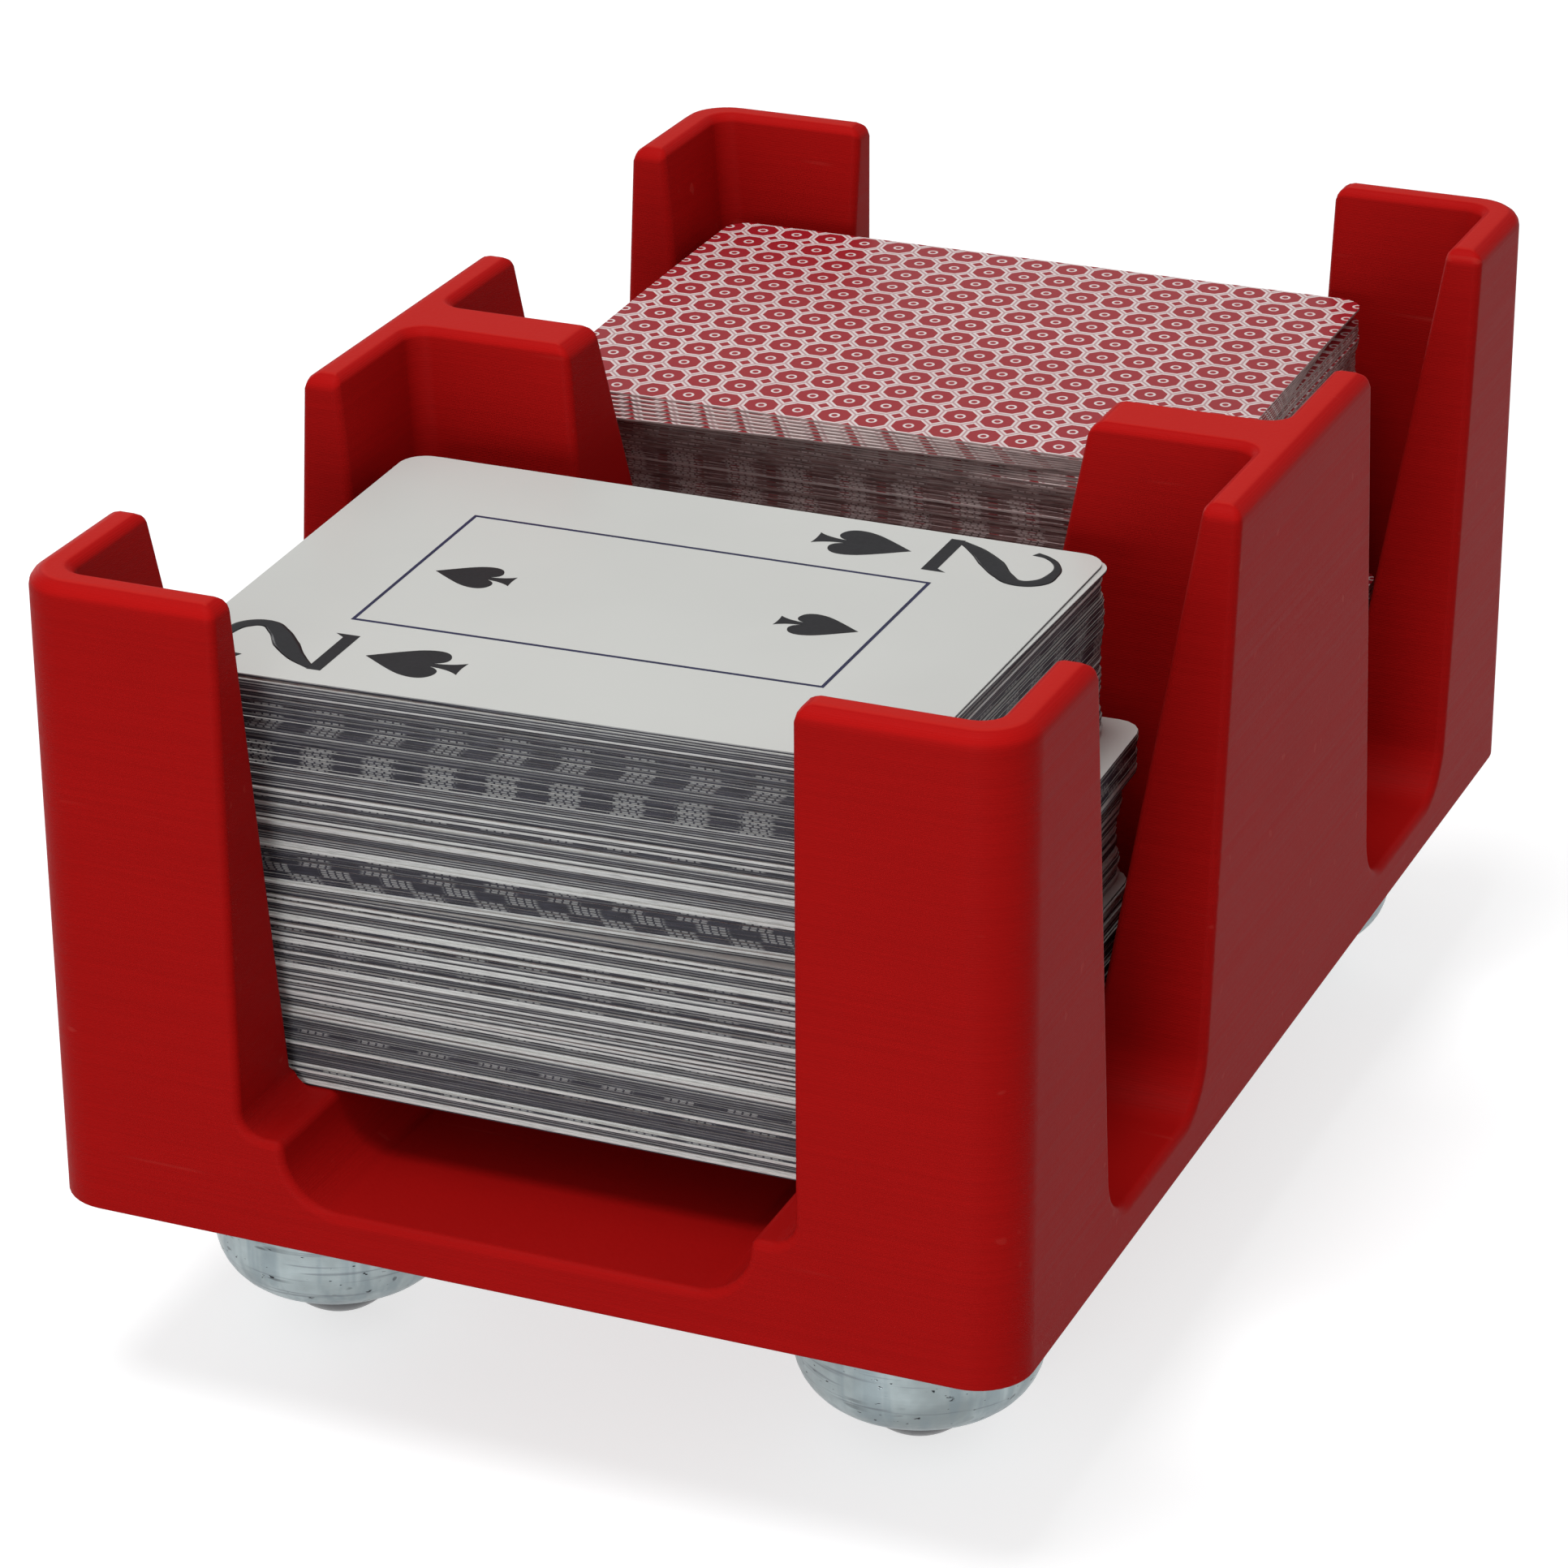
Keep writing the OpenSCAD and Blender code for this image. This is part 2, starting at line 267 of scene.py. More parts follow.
def middle_of(node):
    low, high = corners_of(node)
    return (low + high) / 2


def dress(obj, body, slot, *materials):
    """Gives a new piece its materials and its body. The slot is not used."""
    for material in materials:
        obj.data.materials.append(material)
    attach(obj, body)


# The printed tray
# How far the cutters reach above the walls, and how far they stick out of the tray's sides
OVER = 2 * MM
OUT = 1 * MM
# How far the trough's cutter goes on above the ledges
TROUGH_RISE = 4 * MM
# Steps of the rounds
CORNER_STEPS, WELL_STEPS, TROUGH_STEPS, END_GAP_STEPS, TOP_STEPS = 10, 6, 8, 5, 4
# Convex edges sharper than this many degrees are rounded, by these shares of the top rounding
SHARP = 28
UNDER_SHARE, INNER_TOP_SHARE, OTHER_SHARE = 0.2, 0.6, 0.55
# Edges at most so far above the ledges and so far into an end wall stay sharp
FOOT_RISE, FOOT_DEPTH = 1.8 * MM, 1 * MM
# An edge of the top that lies less than this past the wall's inner side still counts as an inner one
TOP_ROOM = 0.3 * MM
PILOT_STEPS = 32
# Faces that turn less than so many degrees are merged, and edges that turn less are shaded smoothly
MERGE_BELOW, SMOOTH_BELOW = 0.5, 35


def drafted(name, low, high, base, top):
    """A block that leans from its plan at height low to its plan at height high, and goes on above.

    A plan is the centre's x and y and the size in x and y.
    """
    top = base + (top - base) * ((high + OVER - low) / (high - low))
    high += OVER
    half = Vector((base[2] / 2, base[3] / 2))
    made = block(name, (base[0] - half.x, base[1] - half.y, low),
                 (base[0] + half.x, base[1] + half.y, high))
    with editing(made, "FACE", lambda face: face.normal.z > ALONG):
        bpy.ops.transform.resize(value=(top[2] / base[2], top[3] / base[3], 1),
                                 center_override=(base[0], base[1], high))
        bpy.ops.transform.translate(value=(top[0] - base[0], top[1] - base[1], 0))
    return made


def well_cutter(sizes, high, ledge, side):
    """One well, which widens from the ledges to the top."""
    plans = []
    for side_wall, end_wall, divider in ((sizes.side_base, sizes.end_base, sizes.divider_base),
                                         (sizes.wall_top, sizes.wall_top, sizes.divider_top)):
        plans.append(Vector((0, side * (high.y - end_wall + divider / 2) / 2,
                             high.x * 2 - 2 * side_wall, high.y - end_wall - divider / 2)))
    cutter = drafted("well_cutter", ledge, high.z, *plans)
    round_edges(cutter, sizes.well_corner, WELL_STEPS, along(2))
    return cutter


def gap_cutter(centre, size_x, size_y, axis, low, high, radius, segments=TROUGH_STEPS):
    """A gap along an axis, whose sizes are given at the floor and at the top."""
    plans = [Vector((*centre, size_x[i], size_y[i])) for i in (0, 1)]
    cutter = drafted("gap_cutter", low, high, *plans)
    runs = along(axis)
    round_edges(cutter, radius, segments, lambda edge: runs(edge) and edge.verts[0].co.z < low + TINY)
    return cutter


def edge_share(edge, sizes, low, high, ledge):
    """How much of the full rounding an edge of the tray gets."""
    if len(edge.link_faces) != 2 or edge.calc_face_angle_signed(0.0) < math.radians(SHARP):
        return 0.0
    a, b = (vert.co for vert in edge.verts)
    middle = (a + b) / 2
    if middle.z < low.z + TINY:
        return UNDER_SHARE
    if min(a.z, b.z) > high.z - TINY:
        wall = [face for face in edge.link_faces if face.normal.z < ALONG]
        inside = abs(middle.x) < high.x - sizes.wall_top + TOP_ROOM
        crosses = abs(middle.y) < sizes.divider_top / 2 - TINY
        leans = wall and wall[0].normal.z > 0.05
        return INNER_TOP_SHARE if leans and inside and not crosses else 1.0
    end = high.y - sizes.end_base
    low_down = ledge + TINY < middle.z < ledge + FOOT_RISE
    return 0.0 if low_down and end - TINY < abs(middle.y) < end + FOOT_DEPTH else OTHER_SHARE


def make_tray_shell(sizes):
    low, high = corners_of("tray_body")
    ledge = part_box("discard_bottom_packet")[0][2]
    floor = low.z + sizes.floor
    shell = block("tray_shell", low, high)
    round_edges(shell, sizes.corner, CORNER_STEPS, along(2))
    outer_y = high.y + OUT
    well_y = (high.y - sizes.end_base + sizes.divider_base / 2) / 2
    across = (high.x * 2 + 4 * OUT,) * 2
    for side in (-1, 1):
        cut(shell, well_cutter(sizes, high, ledge, side))
        reach = sizes.end_base + 2 * OUT
        cut(shell, gap_cutter((0, side * (outer_y - reach / 2)), (sizes.end_gap,) * 2, (reach,) * 2,
                              1, ledge, high.z, sizes.end_gap_round, END_GAP_STEPS))
        run = outer_y - sizes.divider_base / 2
        cut(shell, gap_cutter((0, side * (outer_y - run / 2)), (sizes.trough,) * 2, (run,) * 2,
                              1, floor, ledge + TROUGH_RISE, sizes.trough_round))
        cut(shell, gap_cutter((0, side * well_y), across, (sizes.side_gap_base, sizes.side_gap_top),
                              0, floor, high.z, sizes.trough_round))
    cut(shell, gap_cutter((0, 0), (sizes.middle_gap_base, sizes.middle_gap_top),
                          (sizes.divider_base + 2 * OUT,) * 2, 1, floor, high.z, sizes.trough_round))
    drill_pilots(shell, sizes, low.z)
    soften(shell, sizes, low, high, ledge)
    return shell


def drill_pilots(shell, sizes, height):
    """Drills the holes for the two screws of each foot into the underside."""
    for corner in CORNERS:
        foot = middle_of("ball_" + corner)
        for way in (-1, 1):
            hole = add_shape("pilot_hole", bpy.ops.mesh.primitive_cylinder_add, vertices=PILOT_STEPS,
                             radius=sizes.pilot / 2, depth=2 * sizes.pilot_depth,
                             location=(foot.x, foot.y + way * sizes.pilot_pitch / 2, height))
            settle()
            cut(shell, hole)


def soften(shell, sizes, low, high, ledge):
    """Rounds the sharp edges of the tray by their shares, and evens its shading."""
    outward(shell)
    with editing(shell):
        bpy.ops.mesh.dissolve_limited(angle_limit=math.radians(MERGE_BELOW))
    shape = bmesh.new()
    shape.from_mesh(shell.data)
    weight = shape.edges.layers.float.new("bevel_weight_edge")
    for edge in shape.edges:
        edge[weight] = edge_share(edge, sizes, low, high, ledge)
    shape.to_mesh(shell.data)
    shape.free()
    modify(shell, "BEVEL", width=sizes.top_round, segments=TOP_STEPS, limit_method="WEIGHT",
           use_clamp_overlap=False, miter_outer="MITER_SHARP")
    outward(shell)
    smooth(shell, SMOOTH_BELOW)
    modify(shell, "WEIGHTED_NORMAL", keep_sharp=True)


# The lathed housings
# Degrees between the points of the shoulder's section
SHOULDER_STEP = 9
# Points of the shoulder that are closer to the mouth than this are left out
MOUTH_ROOM = 0.1 * MM


def housing_profile(sizes, low, high, radius, ball_r):
    """Radius and height of the housing's section, outside first."""
    def mouth(above):
        """Radius of the round mouth at a height above the lip."""
        return math.sqrt((ball_r + sizes.lip_gap) ** 2 - (ball_r - low - above) ** 2)

    def shoulder(bend, angles, least):
        """Points of a quarter round, without those that the mouth takes away."""
        round_r = [(radius - sizes.shoulder + bend * math.cos(math.radians(angle)),
                    low + sizes.shoulder + bend * math.sin(math.radians(angle))) for angle in angles]
        return [point for point in round_r if point[0] > least + MOUTH_ROOM]

    first, last = mouth(0) + sizes.lip_round, mouth(sizes.sheet)
    points = [(first, low)] + shoulder(sizes.shoulder, range(-90, 1, SHOULDER_STEP), first)
    points += [(radius, high), (radius - sizes.sheet, high)]
    points += shoulder(sizes.shoulder - sizes.sheet, range(0, -91, -SHOULDER_STEP), last)
    return points + [(last, low + sizes.sheet), (mouth(sizes.lip_round), low + sizes.lip_round)]


def make_housings(sizes):
    low, high = corners_of("housing_front_left")
    ball_low, ball_high = corners_of("ball_front_left")
    centre = (low + high) / 2
    points = housing_profile(sizes, low.z, high.z, (high.x - low.x) / 2, (ball_high.z - ball_low.z) / 2)
    first = add_shape("housing_shell_front_left", bpy.ops.mesh.primitive_plane_add, location=(0, 0, 0))
    shape = bmesh.new()
    ring = [shape.verts.new((centre.x + r, centre.y, z)) for r, z in points]
    for i, vert in enumerate(ring):
        shape.edges.new((vert, ring[(i + 1) % len(ring)]))
    shape.to_mesh(first.data)
    shape.free()
    with editing(first):
        bpy.ops.mesh.spin(steps=sizes.steps, angle=2 * math.pi, center=(centre.x, centre.y, 0),
                          axis=(0, 0, 1))
    outward(first)
    smooth(first)
    made = {CORNERS[0]: first}
    for corner in CORNERS[1:]:
        made[corner] = copy_of(first, "housing_shell_" + corner)
        made[corner].data.transform(Matrix.Translation(middle_of("housing_" + corner) - centre))
    return made


# Cards
# Cells along and across a card, and steps of its corners: in the two piles, and of a card that lies on top
DISCARD_CELLS, DRAW_CELLS, TOP_CELLS = (4, 3, 4), (2, 5, 4), (16, 12, 8)
# Share of its room in a pile that a card fills, so that neighbours stay apart
FILL_SHARE = 0.94
# Right and back edge of the discard pile's top card, and back edge of the draw pile's
DISCARD_RIGHT, DISCARD_BACK, DRAW_BACK = 40.6 * MM, -16.7 * MM, 81.1 * MM
# Cards below this share of the discard pile's height hang more, by this factor, which leaves a wedge
WEDGE_SHARE, WEDGE_HANG = 0.86, 1.42
# Bands of a pile's card edges: depth below its top in mm, share of pale cards and of dashed cards, and how
# pale the others are
# A pale card's edge is a painted highlight, which stands for the lit top of a card that sticks out
DISCARD_BANDS = (
    (1.9, 0.1, 0.0, 0.3), (2.3, 1.0, 0.0, 0.5), (7.4, 0.22, 0.1, 0.22), (8.8, 0.0, 0.1, 0.12),
    (10.2, 0.0, 0.9, 0.16), (14.2, 0.16, 0.0, 0.46), (14.5, 1.0, 0.0, 0.5), (17.8, 0.26, 0.1, 0.34),
    (18.1, 1.0, 0.0, 0.5), (22, 0.26, 0.1, 0.34), (23.4, 0.1, 0.2, 0.26), (25.2, 0.05, 0.8, 0.2),
    (27, 0.2, 0.3, 0.26), (33, 0.32, 0.15, 0.22), (45, 0.28, 0.05, 0.24), (60, 0.2, 0.15, 0.28))
DRAW_BANDS = ((4, 0.16, 0.1, 0.4), (7, 0.04, 0.4, 0.3), (60, 0.03, 0.78, 0.3))
# Packets of a pile: turn in degrees, steps to the back as the share of its height and mm, and looseness
# below a share of its height and from there on
DISCARD_PACKETS = (("bottom", 0.2, [(0.2, 0.75)], (0.5, 0.3, 0.9)),
                   ("lower", 0.8, [(0.35, 0.3), (0.8, 0.35)], (1.0, 1, 1.0)),
                   ("skewed", 2.0, [], (0.7, 1, 0.7)),
                   ("upper", 0.1, [(0.1, 0.6), (0.28, 0.7), (0.9, 0.6)], (1.0, 0.5, 0.7)))
DRAW_PACKETS = (("bottom", -0.2, [], (0.3, 1, 0.3)), ("middle", 0.2, [], (0.35, 1, 0.35)),
                ("upper", 0.3, [], (0.6, 1, 0.6)))
# How pale the pale cards' edges are, and by what factors the others' paleness varies
PALE_LIGHT, REST_SPREAD = (0.9, 1.0), (0.2, 1.7)
# Turns of the fanned cards in degrees, how far the lowest sticks out to the front and how much less the
# highest does, in mm, and how much of a card's thickness each has
FAN_TURNS = (4.0, 3.4, 2.8, 2.2, 1.6, 0.9)
FAN_OUT, FAN_LESS = 1.65, 1.3
FAN_FILL_SHARE = 0.9
# Seeds of the piles' small offsets, and how far these can add up
DISCARD_SEED, DRAW_SEED = 11, 23
DISCARD_REACH, DRAW_REACH = 0.35 * MM, 0.3 * MM
# Cards with edges paler than this stick out a little to the right, and to the front between two lengths in mm
PALE_FROM = 0.85
PALE_RIGHT, PALE_OUT = 0.1 * MM, (0.1, 0.3)
# Each card's own turn is at most so many degrees off its packet's
TURN_SHAKE = 0.12


def card_blank(sizes, finish, cells_long, cells_wide, segments):
    """One card at the origin, cut into cells so that it can bend, with its own map of where a point is.

    Its finish is the materials of its edge, its upper side and its underside.
    """
    half = Vector((sizes.long / 2, sizes.wide / 2, 0))
    blank = block("card_blank", -half, half + Vector((0, 0, sizes.thick)))
    round_edges(blank, sizes.corner, segments, along(2))
    for axis, count, reach in ((0, cells_long, sizes.long), (1, cells_wide, sizes.wide)):
        normal = Vector((axis == 0, axis == 1, 0))
        for i in range(1, count):
            with editing(blank):
                bpy.ops.mesh.bisect(plane_co=normal * (-reach / 2 + reach * i / count), plane_no=normal)
    outward(blank)
    mesh = blank.data
    for material in finish:
        mesh.materials.append(material)
    chart = mesh.uv_layers.new(name="card_map")
    for face in mesh.polygons:
        flat = abs(face.normal.z) > 0.5
        across = 1 if abs(face.normal.x) > abs(face.normal.y) else 0
        face.material_index = 0 if not flat else 1 if face.normal.z > 0 else 2
        for loop in face.loop_indices:
            place = mesh.vertices[mesh.loops[loop].vertex_index].co
            on_edge = (place[across] + half[across] * 3, place.z)
            chart.data[loop].uv = (place.x, place.y) if flat else on_edge
    mesh.attributes.new("card_tone", "FLOAT", "POINT")
    mesh.attributes.new("card_light", "FLOAT", "POINT")
    return blank


def lay_card(blank, name, place, turn, thick, tone=0.5, light=0.5):
    """A copy of the blank on its place in a pile, turned by so many degrees."""
    card = copy_of(blank, name)
    height = max(vert.co.z for vert in blank.data.vertices)
    card.data.transform(turned_to(place, turn, (1, 1, thick / height)))
    for key, number in (("card_tone", tone), ("card_light", light)):
        for value in card.data.attributes[key].data:
            value.value = number
    return card


def seat(node):
    """The middle of a node's underside, and the node's height."""
    low, high = corners_of(node)
    return Vector(((low.x + high.x) / 2, (low.y + high.y) / 2, low.z)), high.z - low.z


def held(value):
    """A value held between 0 and 1."""
    return min(max(value, 0), 1)


def pile_span(pile):
    """The heights at which a pile begins and ends."""
    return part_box(f"{pile}_bottom_packet")[0][2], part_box(f"{pile}_top_card")[1][2]


def discard_hang(sizes):
    """Gives how far a point of the discard pile hangs, most at its front left corner and near the top."""
    base, top = pile_span("discard")

    def hang(place):
        across = held((DISCARD_RIGHT - place.x) / sizes.long)
        forward = held((DISCARD_BACK - place.y) / sizes.wide)
        share = (place.z - base) / (top - base)
        return sizes.droop * across * forward * (WEDGE_HANG * share if share < WEDGE_SHARE else 1.0)
    return hang


def draw_hang(sizes):
    """Gives how far a point of the draw pile hangs, most along its front edge and near the top."""
    base, top = pile_span("draw")

    def hang(place):
        forward = held((DRAW_BACK - place.y) / sizes.wide)
        return sizes.tilt * forward ** 2 * held((place.z - base) / (top - base))
    return hang


def bend(obj, hang):
    """Lowers every point of a card piece by what hang gives for it."""
    for vert in obj.data.vertices:
        vert.co.z -= hang(vert.co)
    obj.data.update()


class Walk:
    """The small offsets of the cards of a pile, one after another from the bottom to the top."""

    tone_jump_chance = 0.05
    tone_step = 0.11
    drift_chance = 0.12
    pull = 0.12

    def __init__(self, seed, scatter, reach):
        self.dice = random.Random(seed)
        self.scatter = scatter
        self.reach = reach
        self.x = self.y = self.drift_x = self.drift_y = 0.0
        self.tone = self.dice.random()

    def next_tone(self):
        """The next card's tone, which wanders slowly and now and then jumps."""
        jump = self.dice.random() < self.tone_jump_chance
        self.tone = (self.tone + self.dice.uniform(-0.5, 0.5) * (1.0 if jump else self.tone_step)) % 1
        return self.tone

    def step(self, looseness, jump):
        """The next card's offset: a slow drift that is pulled back to the middle, and a shake."""
        dice = self.dice
        if dice.random() < self.drift_chance:
            self.drift_x = dice.uniform(-0.5, 0.5) * self.scatter
            self.drift_y = dice.uniform(-0.6, 0.6) * self.scatter
        self.x += self.drift_x - self.pull * self.x
        self.y += self.drift_y - self.pull * self.y + jump
        self.x = min(max(self.x, -self.reach), self.reach)
        self.y = min(max(self.y, -self.reach), self.reach)
        shake = looseness * self.scatter
        return self.x + dice.uniform(-1, 1) * shake, self.y + dice.uniform(-1, 1) * shake


def edge_light(bands, depth, dice):
    """How pale a card's edge is at a depth below the pile's top: near 0 with dashes, near 1 all pale with
    painted highlight.
    """
    pale, dashed, rest = next((band[1:] for band in bands if depth < band[0] * MM), bands[-1][1:])
    draw = dice.random()
    if draw < pale:
        return dice.uniform(*PALE_LIGHT)
    return 0.0 if draw < pale + dashed else rest * dice.uniform(*REST_SPREAD)


def lay_packets(pile, packets, bands, sizes, blank, walk, hang):
    """Lays the packets of a pile card by card, each card a little off its neighbours."""
    top = pile_span(pile)[1]
    for part, packet_turn, jumps, (loose_below, loose_share, loose_above) in packets:
        node = f"{pile}_{part}_packet"
        place, height = seat(node)
        count = round(height / sizes.thick)
        pitch = height / count
        cards = []
        for i in range(count):
            share = (i + 0.5) / count
            jump = sum(size * MM for where, size in jumps if abs(where - share) < 0.5 / count)
            dx, dy = walk.step(loose_below if share < loose_share else loose_above, jump)
            spot = place + Vector((dx, dy, i * pitch))
            light = edge_light(bands, top - spot.z, walk.dice)
            if light > PALE_FROM:
                spot += Vector((PALE_RIGHT, -walk.dice.uniform(*PALE_OUT) * MM, 0))
            turn = packet_turn + walk.dice.uniform(-TURN_SHAKE, TURN_SHAKE)
            cards.append(lay_card(blank, "card", spot, turn, pitch * FILL_SHARE, walk.next_tone(), light))
        packet = joined(f"{pile}_{part}_cards", cards)
        bend(packet, hang)
        dress(packet, f"{pile}_pile", "card_edges")
        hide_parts(node)


def lay_fan(sizes, blank, walk, hang):
    """Lays the fanned cards under the draw pile's top card."""
    place, height = seat("draw_fanned_cards")
    place.xy = seat("draw_top_card")[0].xy
    cards = []
    for i, turn in enumerate(FAN_TURNS):
        out = FAN_OUT - FAN_LESS * (i / (len(FAN_TURNS) - 1))
        spot = place + Vector((0, -out * MM, height * i / len(FAN_TURNS)))
        cards.append(lay_card(blank, "card", spot, turn, sizes.thick * FAN_FILL_SHARE, walk.dice.random()))
    fan = joined("draw_fan_of_cards", cards)
    bend(fan, hang)
    dress(fan, "draw_pile", "card_back")
    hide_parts("draw_fanned_cards")


def lay_single(blank, node, name, body, slot, turn, thick, hang):
    """Lays one loose card of a pile."""
    card = lay_card(blank, name, seat(node)[0], turn, thick)
    bend(card, hang)
    smooth(card)
    dress(card, body, slot)
    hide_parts(node)


# Shader helpers
class Wire:
    """An output of a shader node. Sums and products of wires add the Math nodes that they need."""

    def __init__(self, tree, socket):
        self.tree = tree
        self.socket = socket

    def run(self, operation, *others, clamp=False):
        """A Math node whose first value is this wire."""
        values = dict(enumerate((self, *others)))
        return put(self.tree, "Math", values, operation=operation, use_clamp=clamp)[0]

    def most(self, other):
        return self.run("MAXIMUM", other)

    def __add__(self, other):
        return self.run("ADD", other)

    def __sub__(self, other):
        return self.run("SUBTRACT", other)

    def __rsub__(self, other):
        return put(self.tree, "Math", {0: other, 1: self}, operation="SUBTRACT")[0]

    def __mul__(self, other):
        return self.run("MULTIPLY", other)

    def __truediv__(self, other):
        return self.run("DIVIDE", other)

    def __abs__(self):
        return self.run("ABSOLUTE")


def feed(tree, socket, value):
    """Links a wire to a node's input, or sets the input's value."""
    if isinstance(value, Wire):
        tree.links.new(value.socket, socket)
    else:
        socket.default_value = (*value, 1) if socket.type == "RGBA" else value


def wires(tree, node):
    """The outputs of a node as wires, by number and by name."""
    made = [Wire(tree, socket) for socket in node.outputs]
    return {**dict(enumerate(made)), **{wire.socket.name: wire for wire in made}}


def put(tree, kind, inputs=None, **settings):
    """Adds a node with its settings, sets or links its inputs, and returns its outputs."""
    node = tree.nodes.new("ShaderNode" + kind)
    for name, value in settings.items():
        setattr(node, name, value)
    for name, value in (inputs or {}).items():
        feed(tree, node.inputs[name], value)
    return wires(tree, node)


def span(value, low, high, out_low=0.0, out_high=1.0):
    """Maps a value smoothly from one range to another, held inside it."""
    ends = {"From Min": low, "From Max": high, "To Min": out_low, "To Max": out_high}
    return put(value.tree, "MapRange", {"Value": value, **ends}, interpolation_type="SMOOTHSTEP")["Result"]


def mix(factor, first, second):
    """A colour between two colours."""
    return put(factor.tree, "Mix", {0: factor, 6: first, 7: second}, data_type="RGBA")[2]


def stretched(place, scale, turn=(0, 0, 0)):
    return put(place.tree, "Mapping", {"Vector": place, "Rotation": turn, "Scale": scale})["Vector"]


def noise(place, scale=1.0, detail=2.0, rough=0.5):
    return put(place.tree, "TexNoise", {"Vector": place, "Scale": scale, "Detail": detail,
                                        "Roughness": rough})["Fac"]


def scratches(group, given):
    """Hairline scratches in two directions, as a mask."""
    total = None
    for turn, scale, seed in (((0.2, 0.5, 0.7), (14, 420, 420), 0.0),
                              ((0.9, -0.4, 2.3), (18, 520, 520), 7.0)):
        moved = put(group, "VectorMath", {0: given["Place"], 1: (seed, seed, seed)}, operation="ADD")[0]
        grown = put(group, "VectorMath", {0: moved, "Scale": given["Scale"]}, operation="SCALE")[0]
        line = noise(stretched(grown, scale, turn), detail=1.0) - (0.8 - given["Amount"] * 0.14)
        kept = line.run("MULTIPLY", 22.0, clamp=True) * span(noise(grown, 60.0, 1.0), 0.45, 0.6)
        total = kept if total is None else total.most(kept)
    return {"Mask": total}


def grain(group, given):
    """Fine even grain and slower patches, both from 0 to 1."""
    return {"Grain": noise(given["Place"], given["Fine"], 3.0, 0.6),
            "Patches": span(noise(given["Place"], given["Coarse"], 3.0, 0.55), 0.3, 0.7)}


def layers(group, given):
    """The layers of a print: a fine ridge for each layer, and a slow change from layer to layer."""
    place = given["Place"]
    height = put(group, "SeparateXYZ", {0: place})["Z"]
    phase = height / given["Pitch"] + noise(place, 90.0, 1.0) * 0.8
    return {"Ridge": abs((phase * math.pi).run("SINE")),
            "Band": span(noise(stretched(place, (12, 12, 2600)), detail=3.0, rough=0.65), 0.3, 0.7)}


def dashes(group, given):
    """The print that shows in a pile's card edges, clusters of dashes and streaks, and the upper part of each
    card, where a strip of painted highlight goes.
    """
    cluster, dash = 7.5 * MM, 0.95 * MM
    parts = put(group, "SeparateXYZ", {0: given["Place"]})
    run, up, tone = parts["X"], parts["Y"], given["Tone"]
    column = span(abs((run / cluster + tone).run("FRACT") - 0.5), 0.29, 0.19)
    dots = span(abs((run / dash + tone * 7.0).run("FRACT") - 0.5), 0.42, 0.32)
    level = up / given["Thickness"]
    core = span(abs(level - 0.5), 0.4, 0.25)
    spread = put(group, "CombineXYZ", {0: run * 420.0, 1: tone * 61.0, 2: up * 9000.0})[0]
    return {"Dashes": column * dots * core, "Column": column,
            "Streaks": noise(spread, detail=4.0, rough=0.6), "Strip": span(level, 0.46, 0.62)}


def make_group(name, inputs, build):
    """A shader group that takes a place and some numbers, and gives what build makes of them."""
    group = bpy.data.node_groups.new(name, "ShaderNodeTree")
    group.interface.new_socket(name="Place", in_out="INPUT", socket_type="NodeSocketVector")
    for label in inputs:
        group.interface.new_socket(name=label, in_out="INPUT", socket_type="NodeSocketFloat")
    made = build(group, wires(group, group.nodes.new("NodeGroupInput")))
    for label in made:
        group.interface.new_socket(name=label, in_out="OUTPUT", socket_type="NodeSocketFloat")
    end = group.nodes.new("NodeGroupOutput")
    for label, wire in made.items():
        feed(group, end.inputs[label], wire)
    return group


GROUPS = {}
MATERIALS = {}


class Look:
    """A material in the making: its shader, and the place on the piece that its patterns follow."""

    def __init__(self, name, on_card=False, **uniform):
        self.material = bpy.data.materials.new(name)
        self.material.use_nodes = True
        self.tree = self.material.node_tree
        self.shader = self.tree.nodes["Principled BSDF"]
        for socket, value in uniform.items():
            self.shader.inputs[socket.replace("_", " ")].default_value = value
        if on_card:
            self.place = put(self.tree, "UVMap", uv_map="card_map")["UV"]
        else:
            self.place = put(self.tree, "TexCoord")["Object"]

    def use(self, group, **inputs):
        """The outputs of a shared group."""
        return put(self.tree, "Group", {"Place": self.place, **inputs}, node_tree=GROUPS[group])

    def grained(self, fine, coarse):
        made = self.use("grain", Fine=fine, Coarse=coarse)
        return made["Grain"], made["Patches"]

    def scratched(self, scale, amount):
        return self.use("scratches", Scale=scale, Amount=amount)["Mask"]

    def finish(self, tint, rough, height, strength, depth):
        """Sets the colour, the roughness and a bump of so many millimetres, and returns the material."""
        bump = put(self.tree, "Bump", {"Height": height, "Strength": strength, "Distance": depth * MM})
        for socket, value in (("Base Color", tint), ("Roughness", rough), ("Normal", bump["Normal"])):
            feed(self.tree, self.shader.inputs[socket], value)
        return self.material


def shade(value, factor):
    """A colour made darker or lighter."""
    return tuple(min(part * factor, 1) for part in value)


